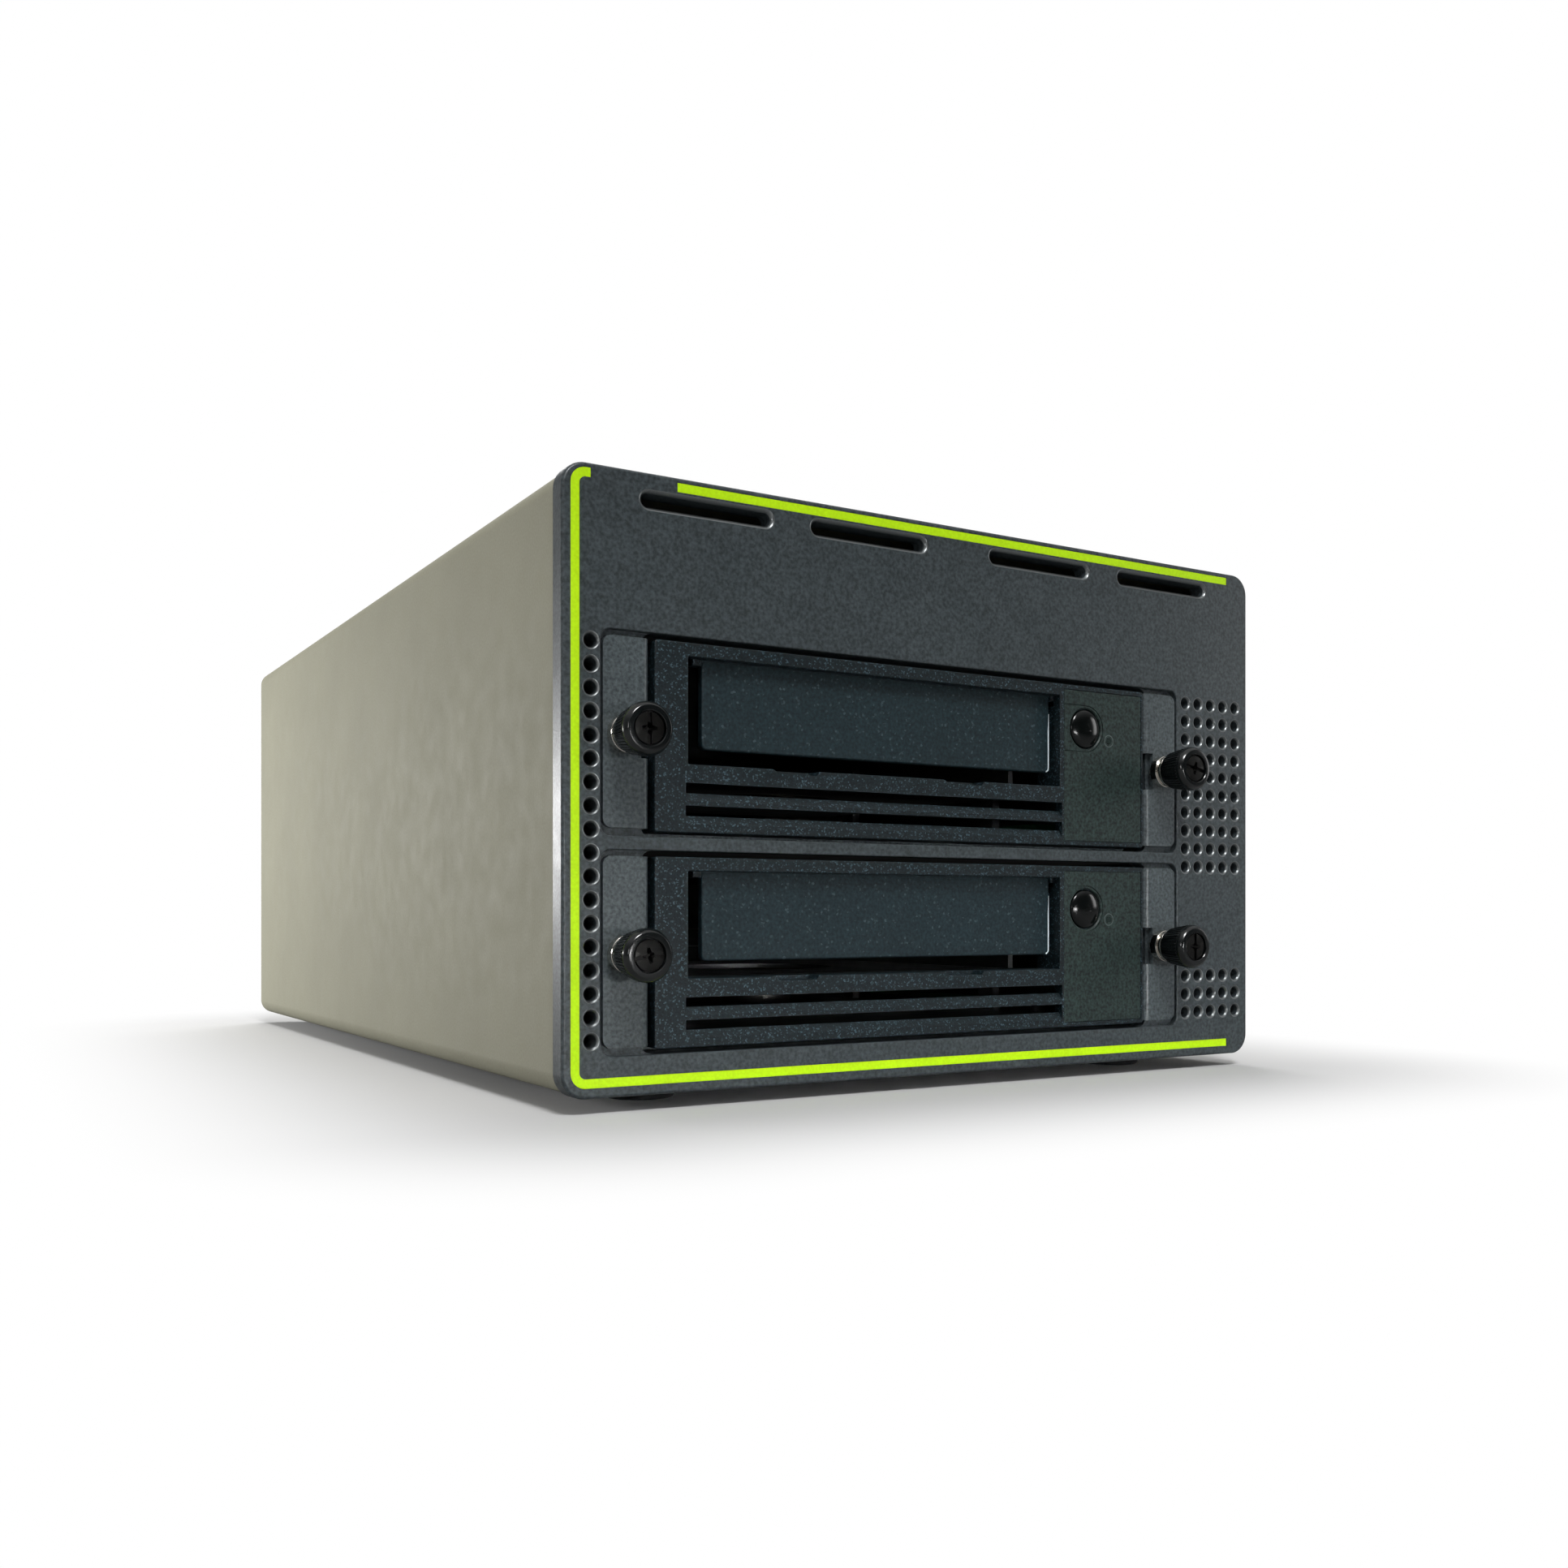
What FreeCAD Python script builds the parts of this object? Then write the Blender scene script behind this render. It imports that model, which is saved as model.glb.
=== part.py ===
import FreeCAD, Part
import math
import os
import re

import Sketcher
from FreeCAD import Vector

# Two-bay desktop data tape drive, in millimetres.
# X runs to the right seen from the front, Y from the front face to the back, Z up from the floor.
# Each bay holds a half-height tape drive on a sled that two captive thumbscrews hold in the case.

SIZES = {
    # front panel
    "panel_tall": 137, "panel_thick": 5, "panel_corner": 5.5, "rim_round": 0.8, "foot_clear": 3.5,
    # accent stripe let into the front panel
    "stripe_inset": 2, "stripe_top": 1.2, "stripe_foot": 2.3, "stripe_wide": 2.1, "stripe_deep": 0.5,
    "stripe_end_in": 8.45, "stripe_gap_in": 6.7, "stripe_gap_long": 20.8,
    # holes and slots of the front panel
    "vent_hole": 1.6, "vent_pitch": 5.08, "vent_low": 12.4, "vent_column": 4.97, "grid_high_low": 53.04,
    "vent_left_in": 6.7, "vent_left_gap": 2.3, "vent_right_in": 4.92, "vent_right_gap": 3.4,
    "air_slot_long": 33, "air_slot_tall": 3.1, "air_slot_down": 6.07, "air_slot_in": 34.5,
    "air_slot_pitch": 44.2, "air_slot_shift": 0.85, "edge_break": 0.4,
    # drive bays
    "bay_low": 8.9, "bay_bar": 3, "recess_gap": 0.65, "recess_deep": 1.8, "recess_corner": 2.5,
    # sheet metal case
    "wrap_inset": 0.5, "wrap_wall": 1.2, "wrap_corner": 5, "shadow_gap": 0.6, "case_deep": 315,
    "lip_wide": 13, "sheet": 1.2, "plate_gap": 0.2, "rear_recess": 1.5, "pan_flange": 12,
    "cage_deep": 208, "cage_foot": 8, "window_edge": 2.4, "pan_vent_long": 60, "pan_vent_wide": 4,
    "pan_vent_pitch": 9,
    # feet
    "foot_wide": 18, "foot_in_x": 30, "foot_in_y": 25, "foot_draft": 0.8, "foot_dimple": 4,
    # sleds
    "slide_gap": 0.3, "side_gap": 0.45, "sled_long": 203, "ear_reach": 10.1, "ear_low": 1.8,
    "ear_tall": 41.8, "ear_corner": 2, "bend": 1.8, "notch_deep": 3, "notch_half": 5, "notch_back": 5,
    # thumbscrews
    "screw_in": 4.92, "screw_up": 22.2, "shank": 2, "run_gap": 0.08, "nut_out": 3.4, "nut_long": 3,
    "ferrule_out": 4.3, "ferrule_neck": 3.8, "ferrule_step": 2.2, "ferrule_long": 3,
    "ferrule_hole": 3.2, "ferrule_bore": 2.3, "washer_out": 4.5, "washer_thick": 0.8, "knob_back": 5,
    "knob_wide": 5.88, "knob_front": 4.93, "knob_band": 2, "knob_reach": 12.6, "knob_lip": 0.5,
    "knob_cup": 3.75, "knob_cup_deep": 1.5, "head_out": 3.45, "head_thick": 1.1, "screw_tip": 8.9,
    "shank_hole": 3,
    # drive bezel, from the middle of the bay and the foot of the bay opening
    "bezel_side": 1, "bezel_low": 1.15, "bezel_over": 1.25, "bezel_deep": 9, "bezel_skin": 2.7,
    "bezel_wall": 1.1, "slot_left_gap": 1.95, "slot_right_gap": 1.65, "slot_low": 16.55,
    "slot_head": 3.15, "sill_thick": 1.2, "notch_one": 43.7, "notch_two": 5.8, "notch_wide": 12.8,
    "notch_ramp": 1.7, "notch_end": 0.8, "sill_notch": 1, "grille_one": 10.1, "grille_two": 5,
    "grille_tall": 2.25, "grille_over": 0.7, "grille_slope": 1.8, "grille_lean": 1.25,
    # door of the cartridge slot
    "door_left_gap": 4.9, "door_right_gap": 1.2, "door_foot_gap": 3.75, "door_front": 3,
    "door_thick": 2, "hinge_down": 3.1, "hinge_in": 4.1, "barrel": 1.1, "pin": 0.9, "pin_long": 2,
    "lug_wide": 2.3, "lug_drop": 1.4, "lug_deep": 6.5, "door_corner": 1.5,
    # control panel, button and light
    "insert_step": 1.35, "insert_edge": 0.8, "insert_low": 2.3, "insert_head": 1.3, "insert_deep": 1,
    "insert_gap": 0.1, "button_in": 7.65, "button_down": 10.1, "button_half": 5.1, "button_gap": 0.3,
    "button_long": 7, "button_dome": 0.9, "button_crown": 1.55, "light_step": 8.3, "light_down": 2.8,
    "light_half": 0.8, "light_long": 8,
    # drive chassis
    "drive_room": 9.35, "drive_gap": 1.95, "drive_tall": 41.3, "drive_head": 2.15, "drive_long": 192,
    "drive_wall": 2, "drive_floor": 2.5, "lid_thick": 1, "lid_emboss": 0.4, "lid_rim": 8,
    "port_left": 20, "port_right": 60, "port_low": 5, "port_tall": 10, "port_gap": 0.1, "port_back": 2,
    # mechanism of the drive
    "tray_mid": 10.65, "cartridge_wide": 106, "tray_up": 13.5, "tray_wall": 1.5, "tray_floor": 1.2,
    "tray_side": 10, "tray_start": 19, "tray_long": 99, "hub_y": 66, "hub_hole": 22, "motor_half": 20,
    "motor_tall": 4.6, "post_deep": 6, "post_tall": 26, "post_one": 28, "post_two": 98, "post_gap": 0.3,
    "post_thick": 2.5, "reel_gap": 2, "reel_half": 35, "reel_core": 22, "reel_flange": 1.5,
    "reel_up": 4, "reel_tall": 18, "spindle": 3, "boss_half": 10, "head_left": 32, "head_right": 62,
    "head_start": 126, "head_end": 150, "head_tall": 24, "head_nose": 7, "board_edge": 3,
    "board_wide": 22, "board_start": 14, "board_end": 118, "board_up": 2, "board_thick": 1.6,
    # fan
    "fan_in": 50.5, "fan_up": 72, "fan_side": 80, "fan_deep": 25, "fan_bore": 38, "fan_hub": 17,
    "fan_tip": 37, "fan_strut": 4, "fan_mount": 3, "fan_screw": 2.2, "fan_pitch": 71.5,
    "fan_axle": 1.5, "fan_run": 1, "blade_thick": 1.4, "blade_root": 2, "wire": 0.8, "guard_step": 9,
    "guard_first": 10,
    # power inlet, switch and sockets
    "inlet_in": 37.5, "inlet_up": 104, "inlet_wide": 27.4, "inlet_tall": 19.8, "inlet_flange": 2.5,
    "inlet_rim": 2.2, "inlet_deep": 22, "cavity_wide": 24.4, "cavity_tall": 16.4, "cavity_deep": 17,
    "pin_wide": 4, "pin_thick": 2, "prong_long": 12, "prong_side": 7, "prong_up": 2,
    "switch_step": 32, "switch_wide": 13, "switch_tall": 19, "switch_rim": 1.5, "switch_deep": 12,
    "switch_wall": 1.2, "rocker_gap": 0.3, "rocker_proud": 3.3, "rocker_flat": 1.2, "rocker_deep": 6,
    "rocker_pin": 1.2,
    "socket_x": 8, "socket_pitch": 16, "socket_up": 116, "socket_wide": 8.9, "socket_tall": 3.2,
    "socket_wall": 0.35, "socket_long": 8, "socket_proud": 0.4, "socket_back": 1.05, "card_wide": 44,
    "card_deep": 50, "card_thick": 1.6,
    # power supply
    "supply_in": 8.5, "supply_wide": 85, "supply_start": 226, "supply_end": 300, "supply_tall": 62,
    "supply_slot": 30, "supply_pitch": 6,
    # case screws
    "case_screw": 2.6, "case_screw_head": 1.1, "case_screw_side": 8, "case_screw_end": 10.5,
}

# Numbers of repeated features
VENT_ROWS = 18
GRID_COLUMNS = 5
LOW_ROWS = 3
HIGH_ROWS = 10
PAN_VENTS = 7
REAR_VENTS = 6
SUPPLY_VENTS = 6
BLADES = 7
GUARD_RINGS = 4

# Sizes that follow from those of the pieces that fit together
FOLLOWS = {
    "drive_half": "(cartridge_wide / 2 + tray_mid + drive_room)",
    "sled_half": "(drive_half + drive_gap + sheet)",
    "bay_wide": "(2 * (sled_half + side_gap))",
    "ear_out": "(sled_half + ear_reach)",
    "screw_out": "(sled_half + screw_in)",
    "recess_wide": "(2 * (ear_out + recess_gap))",
    "border_left": "(vent_left_in + vent_left_gap)",
    "border_right": f"(vent_right_gap + {GRID_COLUMNS - 1} * vent_column + vent_right_in)",
    "panel_wide": "(border_left + recess_wide + border_right)",
    "bay_shift": "((border_right - border_left) / 2)",
    "vent_left_x": "(panel_wide / 2 - vent_left_in)",
    "vent_right_x": f"(panel_wide / 2 - vent_right_in - {GRID_COLUMNS - 1} * vent_column)",
    "stripe_end": "(panel_wide / 2 - stripe_end_in)",
    "stripe_gap_left": "(panel_wide / 2 - stripe_gap_in)",
    "stripe_gap_right": "(stripe_gap_left - stripe_gap_long)",
    "air_slot_outer": "(panel_wide / 2 - air_slot_in)",
    "air_slot_inner": "(air_slot_outer - air_slot_pitch)",
    "air_slot_high": "(panel_tall - air_slot_down)",
    "bay_tall": "(slide_gap + sheet + drive_tall + drive_head)",
    "bay_pitch": "(bay_tall + bay_bar)",
    "bezel_half": "(drive_half + bezel_side)",
    "bezel_tall": "(drive_tall + bezel_over)",
    "slot_left": "(tray_mid + cartridge_wide / 2 + slot_left_gap)",
    "slot_right": "(cartridge_wide / 2 - tray_mid + slot_right_gap)",
    "slot_high": "(bezel_low + bezel_tall - slot_head)",
    "door_left": "(slot_left - door_left_gap)",
    "door_right": "(slot_right - door_right_gap)",
    "door_low": "(slot_low + door_foot_gap)",
    "hinge_up": "(bezel_low + bezel_tall - hinge_down)",
    "lug_low": "(hinge_up - lug_drop)",
    "insert_left": "(slot_right + insert_step)",
    "insert_right": "(bezel_half - insert_edge)",
    "insert_high": "(bezel_low + bezel_tall - insert_head)",
    "button_x": "(insert_left + button_in)",
    "button_up": "(insert_high - button_down)",
    "light_x": "(button_x + light_step)",
    "light_up": "(button_up - light_down)",
    "board_right": "(drive_half - board_edge)",
    "board_left": "(board_right - board_wide)",
    "reel_y": "(bezel_deep + drive_long - drive_wall - reel_half - reel_gap)",
    "supply_left": "(panel_wide / 2 - supply_in)",
    "supply_right": "(supply_left - supply_wide)",
    "inlet_x": "(panel_wide / 2 - inlet_in)",
    "switch_x": "(inlet_x - switch_step)",
    "fan_x": "(panel_wide / 2 - fan_in)",
    "case_screw_in": "(panel_wide / 2 - wrap_inset - case_screw_side)",
}

DOC = FreeCAD.newDocument("TapeDrive")
SHEET = DOC.addObject("Spreadsheet::Sheet", "size")
for row, (alias, number) in enumerate(SIZES.items(), 1):
    SHEET.set(f"A{row}", str(number))
    SHEET.setAlias(f"A{row}", alias)
DOC.recompute()

PLANES = {"front": "XZ_Plane", "top": "XY_Plane", "side": "YZ_Plane"}
PIECES = {}
BAYS = ((0, "lower"), (1, "upper"))

# The common frame has its zero on the floor, under the middle of the whole depth
MIDDLE = "(case_deep + rocker_proud - knob_reach) / 2"

# Heights and depths that several pieces share
CASE_LOW = "(foot_clear + wrap_inset)"
CASE_HIGH = "(foot_clear + panel_tall - wrap_inset)"
CASE_HALF = "(panel_wide / 2 - wrap_inset)"
PAN_LOW = f"({CASE_LOW} + wrap_wall)"
PAN_TOP = f"({PAN_LOW} + sheet)"
FRAME_BACK = "(panel_thick + sheet)"
REAR_FACE = "(case_deep - rear_recess)"
REAR_INNER = f"({REAR_FACE} - sheet)"


def bind(text):
    """A formula in the names of sizes, as the sheet's references."""
    def reference(word):
        """One name: a size of the sheet, or one that follows from others."""
        if word[0] in FOLLOWS:
            return bind(FOLLOWS[word[0]])
        return f"size.{word[0]}" if word[0] in SIZES else word[0]
    return re.sub(r"[a-z][a-z_]*", reference, text)


def value(text):
    """The number that a formula gives now."""
    return float(SHEET.evalExpression(bind(text)))


def bay_base(bay):
    """The height of the foot of a bay's opening; bay 0 is the lower one, bay 1 the upper."""
    return f"(foot_clear + bay_low + {bay} * bay_pitch)"


def bay_x(offset):
    """A place across the case, given from the middle of the bays."""
    return f"({offset} - bay_shift)"


def rect(left, low, right, high):
    """The four corners of an upright rectangle."""
    return [(left, low), (right, low), (right, high), (left, high)]


def about(middle, level, wide, tall):
    """An upright rectangle about its middle."""
    left, right = f"{middle} - {wide} / 2", f"{middle} + {wide} / 2"
    return rect(left, f"{level} - {tall} / 2", right, f"{level} + {tall} / 2")


def rounded(left, low, right, high, radius):
    """An upright rectangle with round corners."""
    inner_left, inner_right = f"{left} + {radius}", f"{right} - {radius}"
    inner_low, inner_high = f"{low} + {radius}", f"{high} - {radius}"
    return [
        (inner_left, low), (inner_right, low, inner_right, inner_low),
        (right, inner_low), (right, inner_high, inner_right, inner_high),
        (inner_right, high), (inner_left, high, inner_left, inner_high),
        (left, inner_high), (left, inner_low, inner_left, inner_low),
    ]


def obround(middle, level, wide, tall):
    """A lying slot with half-round ends."""
    end = f"({wide} - {tall}) / 2"
    low, high = f"{level} - {tall} / 2", f"{level} + {tall} / 2"
    return [
        (f"{middle} - {end}", low), (f"{middle} + {end}", low, f"{middle} + {end}", level),
        (f"{middle} + {end}", high), (f"{middle} - {end}", high, f"{middle} - {end}", level),
    ]


def circle(across, up, radius):
    """A circle, marked so that a sketch can tell it from an outline."""
    return ("circle", across, up, radius)


class Piece:
    """One sub-part: a body with its sketches and features, placed in the common frame."""

    def __init__(self, name):
        self.body = DOC.addObject("PartDesign::Body", name)
        self.body.Label = name
        self.body.AllowCompound = True
        self.body.setExpression("Placement.Base.y", bind(f"-({MIDDLE})"))
        PIECES[name] = self.body

    def origin(self, role):
        """The body's own plane or axis of that role."""
        return [part for part in self.body.Origin.OriginFeatures if part.Role == role][0]

    def draw(self, view, level, outlines, across="0", up="0"):
        """A sketch in that view, at that level, with every point held by a formula."""
        made = self.body.newObject("Sketcher::SketchObject", f"{self.body.Name}_outline")
        made.AttachmentSupport = (self.origin(PLANES[view]), [""])
        made.MapMode = "FlatFace"
        sign = "-" if view == "front" else ""
        for axis, place in (("x", across), ("y", up), ("z", f"{sign}({level})")):
            made.setExpression(f"AttachmentOffset.Base.{axis}", bind(place))
        for outline in outlines:
            if outline[0] == "circle":
                draw_circle(made, *outline[1:])
            else:
                draw_outline(made, outline)
        return made

    def pad(self, view, level, outlines, length, **place):
        """Adds the outlines, drawn out backwards, upwards or to the right."""
        made = self.body.newObject("PartDesign::Pad", f"{self.body.Name}_pad")
        made.Profile = self.draw(view, level, outlines, **place)
        made.setExpression("Length", bind(length))
        made.Reversed = view == "front"
        DOC.recompute()
        return made

    def cut(self, view, level, outlines, length, **place):
        """Takes the outlines away, cut backwards, downwards or to the left."""
        before = self.body.Shape.Volume
        made = self.body.newObject("PartDesign::Pocket", f"{self.body.Name}_cut")
        made.Profile = self.draw(view, level, outlines, **place)
        made.setExpression("Length", bind(length))
        DOC.recompute()
        if made.Shape.Volume >= before:
            raise ValueError(f"{made.Name} cuts nothing")
        return made

    def turn(self, view, profile, **place):
        """Turns a profile about the long axis in the side view, or the upright one in the front."""
        made = self.body.newObject("PartDesign::Revolution", f"{self.body.Name}_turned")
        drawing = self.draw(view, place.pop("level", "0"), [profile], **place)
        made.Profile = drawing
        made.ReferenceAxis = (drawing, ["H_Axis" if view == "side" else "V_Axis"])
        made.Angle = 360
        DOC.recompute()
        return made

    def repeat(self, feature, axis, pitch, count, other=None):
        """Repeats a feature in a row, or in a grid where a second axis, pitch and count are given."""
        made = self.body.newObject("PartDesign::LinearPattern", f"{self.body.Name}_row")
        made.Originals = [feature]
        made.Direction = (self.origin(axis), [""])
        made.setExpression("Length", bind(f"{pitch} * {count - 1}"))
        made.Occurrences = count
        if other:
            made.Direction2 = (self.origin(other[0]), [""])
            made.setExpression("Length2", bind(f"{other[1]} * {other[2] - 1}"))
            made.Occurrences2 = other[2]
        self.body.Tip = made
        DOC.recompute()
        return made

    def round_about(self, feature, axis, count):
        """Repeats a feature in a ring about an axis."""
        made = self.body.newObject("PartDesign::PolarPattern", f"{self.body.Name}_ring")
        made.Originals = [feature]
        made.Axis = axis
        made.Angle = 360
        made.Occurrences = count
        self.body.Tip = made
        DOC.recompute()
        return made

    def dress(self, kind, size, wanted):
        """Rounds or bevels the edges that the test picks."""
        base = self.body.Tip
        names = [f"Edge{i}" for i, edge in enumerate(base.Shape.Edges, 1) if wanted(edge)]
        made = self.body.newObject(f"PartDesign::{kind}", f"{self.body.Name}_{kind.lower()}")
        made.Base = (base, names)
        made.setExpression("Size" if kind == "Chamfer" else "Radius", bind(size))
        DOC.recompute()
        return made


def pin_point(drawing, edge, spot, across, up):
    """Holds one point of a sketch at a place given by two formulas."""
    for kind, place in (("DistanceX", across), ("DistanceY", up)):
        number = drawing.addConstraint(Sketcher.Constraint(kind, edge, spot, value(place)))
        drawing.setExpression(f"Constraints[{number}]", bind(place))


def draw_circle(drawing, across, up, radius):
    """A circle with its middle and radius held."""
    middle = Vector(value(across), value(up), 0)
    edge = drawing.addGeometry(Part.Circle(middle, Vector(0, 0, 1), value(radius)))
    pin_point(drawing, edge, 3, across, up)
    number = drawing.addConstraint(Sketcher.Constraint("Radius", edge, value(radius)))
    drawing.setExpression(f"Constraints[{number}]", bind(radius))


def draw_outline(drawing, points):
    """A closed outline: two formulas start a straight edge, four an arc about the second pair."""
    spots = [Vector(value(point[0]), value(point[1]), 0) for point in points]
    first = drawing.GeometryCount
    ends = []
    for i, point in enumerate(points):
        start, finish = spots[i], spots[(i + 1) % len(points)]
        if len(point) == 2:
            drawing.addGeometry(Part.LineSegment(start, finish))
            ends.append((1, 2))
            continue
        middle = Vector(value(point[2]), value(point[3]), 0)
        forward = (start - middle).cross(finish - middle).z > -1e-7
        pair = (start, finish) if forward else (finish, start)
        angles = [math.atan2(spot.y - middle.y, spot.x - middle.x) for spot in pair]
        ring = Part.Circle(middle, Vector(0, 0, 1), (start - middle).Length)
        drawing.addGeometry(Part.ArcOfCircle(ring, *angles))
        ends.append((1, 2) if forward else (2, 1))
    for i, point in enumerate(points):
        after = (i + 1) % len(points)
        joint = Sketcher.Constraint("Coincident", first + i, ends[i][1], first + after, ends[after][0])
        drawing.addConstraint(joint)
        pin_point(drawing, first + i, ends[i][0], point[0], point[1])
    for i, point in enumerate(points):
        if len(point) == 4:
            hold_arc(drawing, first + i, spots[i], spots[(i + 1) % len(points)], point)


def hold_arc(drawing, edge, start, finish, point):
    """Holds an arc's middle along the direction that its two ends leave free."""
    lying = abs(start.x - finish.x) > abs(start.y - finish.y)
    kind, place = ("DistanceY", point[3]) if lying else ("DistanceX", point[2])
    number = drawing.addConstraint(Sketcher.Constraint(kind, edge, 3, value(place)))
    drawing.setExpression(f"Constraints[{number}]", bind(place))


def near(number, formula):
    """Whether a measured number is the one that the formula gives."""
    return abs(number - value(formula)) < 1e-4


def flat_at(edge, axis, formula):
    """Whether an edge lies wholly at that place along an axis."""
    box = edge.BoundBox
    return near(getattr(box, f"{axis}Min"), formula) and near(getattr(box, f"{axis}Max"), formula)


def along(edge, axis):
    """Whether an edge is straight and runs along an axis."""
    if not edge.Curve.TypeId == "Part::GeomLine":
        return False
    return abs(getattr(edge.Curve.Direction, axis)) > 0.999


def stripe_outlines():
    """The accent stripe: a long run round the left side, and a top run past a bare gap."""
    left, low = "-(panel_wide / 2 - stripe_inset)", "(foot_clear + stripe_foot)"
    high = "(foot_clear + panel_tall - stripe_top)"
    turn = "(panel_corner - stripe_inset)"
    mid_x, mid_low, mid_high = f"{left} + {turn}", f"{low} + {turn}", f"{high} - {turn}"
    inner_x, inner_low, inner_high = f"{left} + stripe_wide", f"{low} + stripe_wide", f"{high} - stripe_wide"
    run = [
        (mid_x, low), ("stripe_end", low), ("stripe_end", inner_low),
        (mid_x, inner_low, mid_x, mid_low), (inner_x, mid_low),
        (inner_x, mid_high, mid_x, mid_high), (mid_x, inner_high),
        ("-stripe_gap_left", inner_high), ("-stripe_gap_left", high),
        (mid_x, high, mid_x, mid_high), (left, mid_high), (left, mid_low, mid_x, mid_low),
    ]
    return [run, rect("-stripe_gap_right", inner_high, "stripe_end", high)]


def bay_opening(bay):
    """The bay's opening through the front panel."""
    base, left, right = bay_base(bay), bay_x("-bay_wide / 2"), bay_x("bay_wide / 2")
    return rounded(left, base, right, f"{base} + bay_tall", "recess_corner")


def screw_places():
    """The four thumbscrews: name, bay and side."""
    sides = (("left", -1), ("right", 1))
    return [(f"{bay_name}_{side}", bay, sign) for bay, bay_name in BAYS for side, sign in sides]


def make_front_panel():
    """The thick moulded front with vents, slots, two bay openings and the stripe's channel."""
    piece = Piece("front_panel")
    half = "panel_wide / 2"
    top = "foot_clear + panel_tall"
    piece.pad("front", "0", [rounded(f"-{half}", "foot_clear", half, top, "panel_corner")], "panel_thick")
    piece.dress("Fillet", "rim_round", lambda edge: flat_at(edge, "Y", "0"))
    for bay, _ in BAYS:
        base = bay_base(bay)
        sides = bay_x("-recess_wide / 2"), bay_x("recess_wide / 2")
        recess = rounded(sides[0], base, sides[1], f"{base} + bay_tall", "recess_corner")
        piece.cut("front", "0", [recess], "recess_deep")
        piece.cut("front", "0", [bay_opening(bay)], "panel_thick")
        places = [bay_x(f"{sign} * screw_out") for sign in (-1, 1)]
        holes = [circle(place, f"{base} + screw_up", "shank_hole") for place in places]
        piece.cut("front", "0", holes, "panel_thick")
    piece.cut("front", "0", stripe_outlines(), "stripe_deep")
    slots = [
        obround(f"({side} * {place} + air_slot_shift)", "foot_clear + air_slot_high", "air_slot_long",
                "air_slot_tall")
        for side in (-1, 1) for place in ("air_slot_inner", "air_slot_outer")
    ]
    piece.cut("front", "0", slots, "panel_thick")
    piece.dress("Chamfer", "edge_break", slot_edge)
    low = "foot_clear + vent_low"
    column = piece.cut("front", "0", [circle("-vent_left_x", low, "vent_hole")], "panel_thick")
    piece.repeat(column, "Z_Axis", "vent_pitch", VENT_ROWS)
    few = piece.cut("front", "0", [circle("vent_right_x", low, "vent_hole")], "panel_thick")
    piece.repeat(few, "X_Axis", "vent_column", GRID_COLUMNS, ("Z_Axis", "vent_pitch", LOW_ROWS))
    high = "foot_clear + grid_high_low"
    many = piece.cut("front", "0", [circle("vent_right_x", high, "vent_hole")], "panel_thick")
    piece.repeat(many, "X_Axis", "vent_column", GRID_COLUMNS, ("Z_Axis", "vent_pitch", HIGH_ROWS))


def slot_edge(edge):
    """Whether an edge is on the front of one of the four air slots."""
    middle, half = value("foot_clear + air_slot_high"), value("air_slot_tall / 2") + 1e-3
    box = edge.BoundBox
    return flat_at(edge, "Y", "0") and middle - half < box.ZMin and box.ZMax < middle + half


def make_accent_stripe():
    """The coloured inlay that fills the front panel's channel."""
    piece = Piece("accent_stripe")
    piece.pad("front", "0", stripe_outlines(), "stripe_deep")


def make_case_wrap():
    """The outer cover: top, sides and two lips under the case, folded from one sheet."""
    piece = Piece("case_wrap")
    half, low, high, turn = CASE_HALF, CASE_LOW, CASE_HIGH, "wrap_corner"
    lip = f"({half} - lip_wide)"
    mid, mid_low, mid_high = f"({half} - {turn})", f"{low} + {turn}", f"{high} - {turn}"
    inner, inner_low, inner_high = f"({half} - wrap_wall)", f"{low} + wrap_wall", f"{high} - wrap_wall"
    outline = [
        (lip, low), (mid, low, mid, mid_low), (half, mid_low), (half, mid_high, mid, mid_high),
        (mid, high), (f"-{mid}", high, f"-{mid}", mid_high), (f"-{half}", mid_high),
        (f"-{half}", mid_low, f"-{mid}", mid_low), (f"-{mid}", low), (f"-{lip}", low),
        (f"-{lip}", inner_low), (f"-{mid}", inner_low, f"-{mid}", mid_low), (f"-{inner}", mid_low),
        (f"-{inner}", mid_high, f"-{mid}", mid_high), (f"-{mid}", inner_high),
        (mid, inner_high, mid, mid_high), (inner, mid_high), (inner, mid_low, mid, mid_low),
        (mid, inner_low), (lip, inner_low),
    ]
    start = "(panel_thick + shadow_gap)"
    piece.pad("front", start, [outline], f"case_deep - {start}")


def make_base_pan():
    """The bottom tray, which lies on the cover's lips and carries the cage and the feet."""
    piece = Piece("base_pan")
    half, low, high = f"({CASE_HALF} - wrap_corner)", PAN_LOW, PAN_TOP
    top = f"({high} + pan_flange)"
    inner = f"({half} - sheet)"
    outline = [
        (f"-{half}", low), (half, low), (half, top), (inner, top), (inner, high),
        (f"-{inner}", high), (f"-{inner}", top), (f"-{half}", top),
    ]
    piece.pad("front", FRAME_BACK, [outline], f"{REAR_INNER} - {FRAME_BACK}")
    slot = obround("0", "case_deep / 2 - 3 * pan_vent_pitch", "pan_vent_long", "pan_vent_wide")
    vent = piece.cut("top", high, [slot], "sheet")
    piece.repeat(vent, "Y_Axis", "pan_vent_pitch", PAN_VENTS)


def plate_outline():
    """The outline of a plate that closes one end of the cover."""
    half = f"({CASE_HALF} - wrap_wall - plate_gap)"
    low, high = f"({CASE_LOW} + wrap_wall)", f"({CASE_HIGH} - wrap_wall - plate_gap)"
    return rounded(f"-{half}", low, half, high, "(wrap_corner - wrap_wall)")


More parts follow.
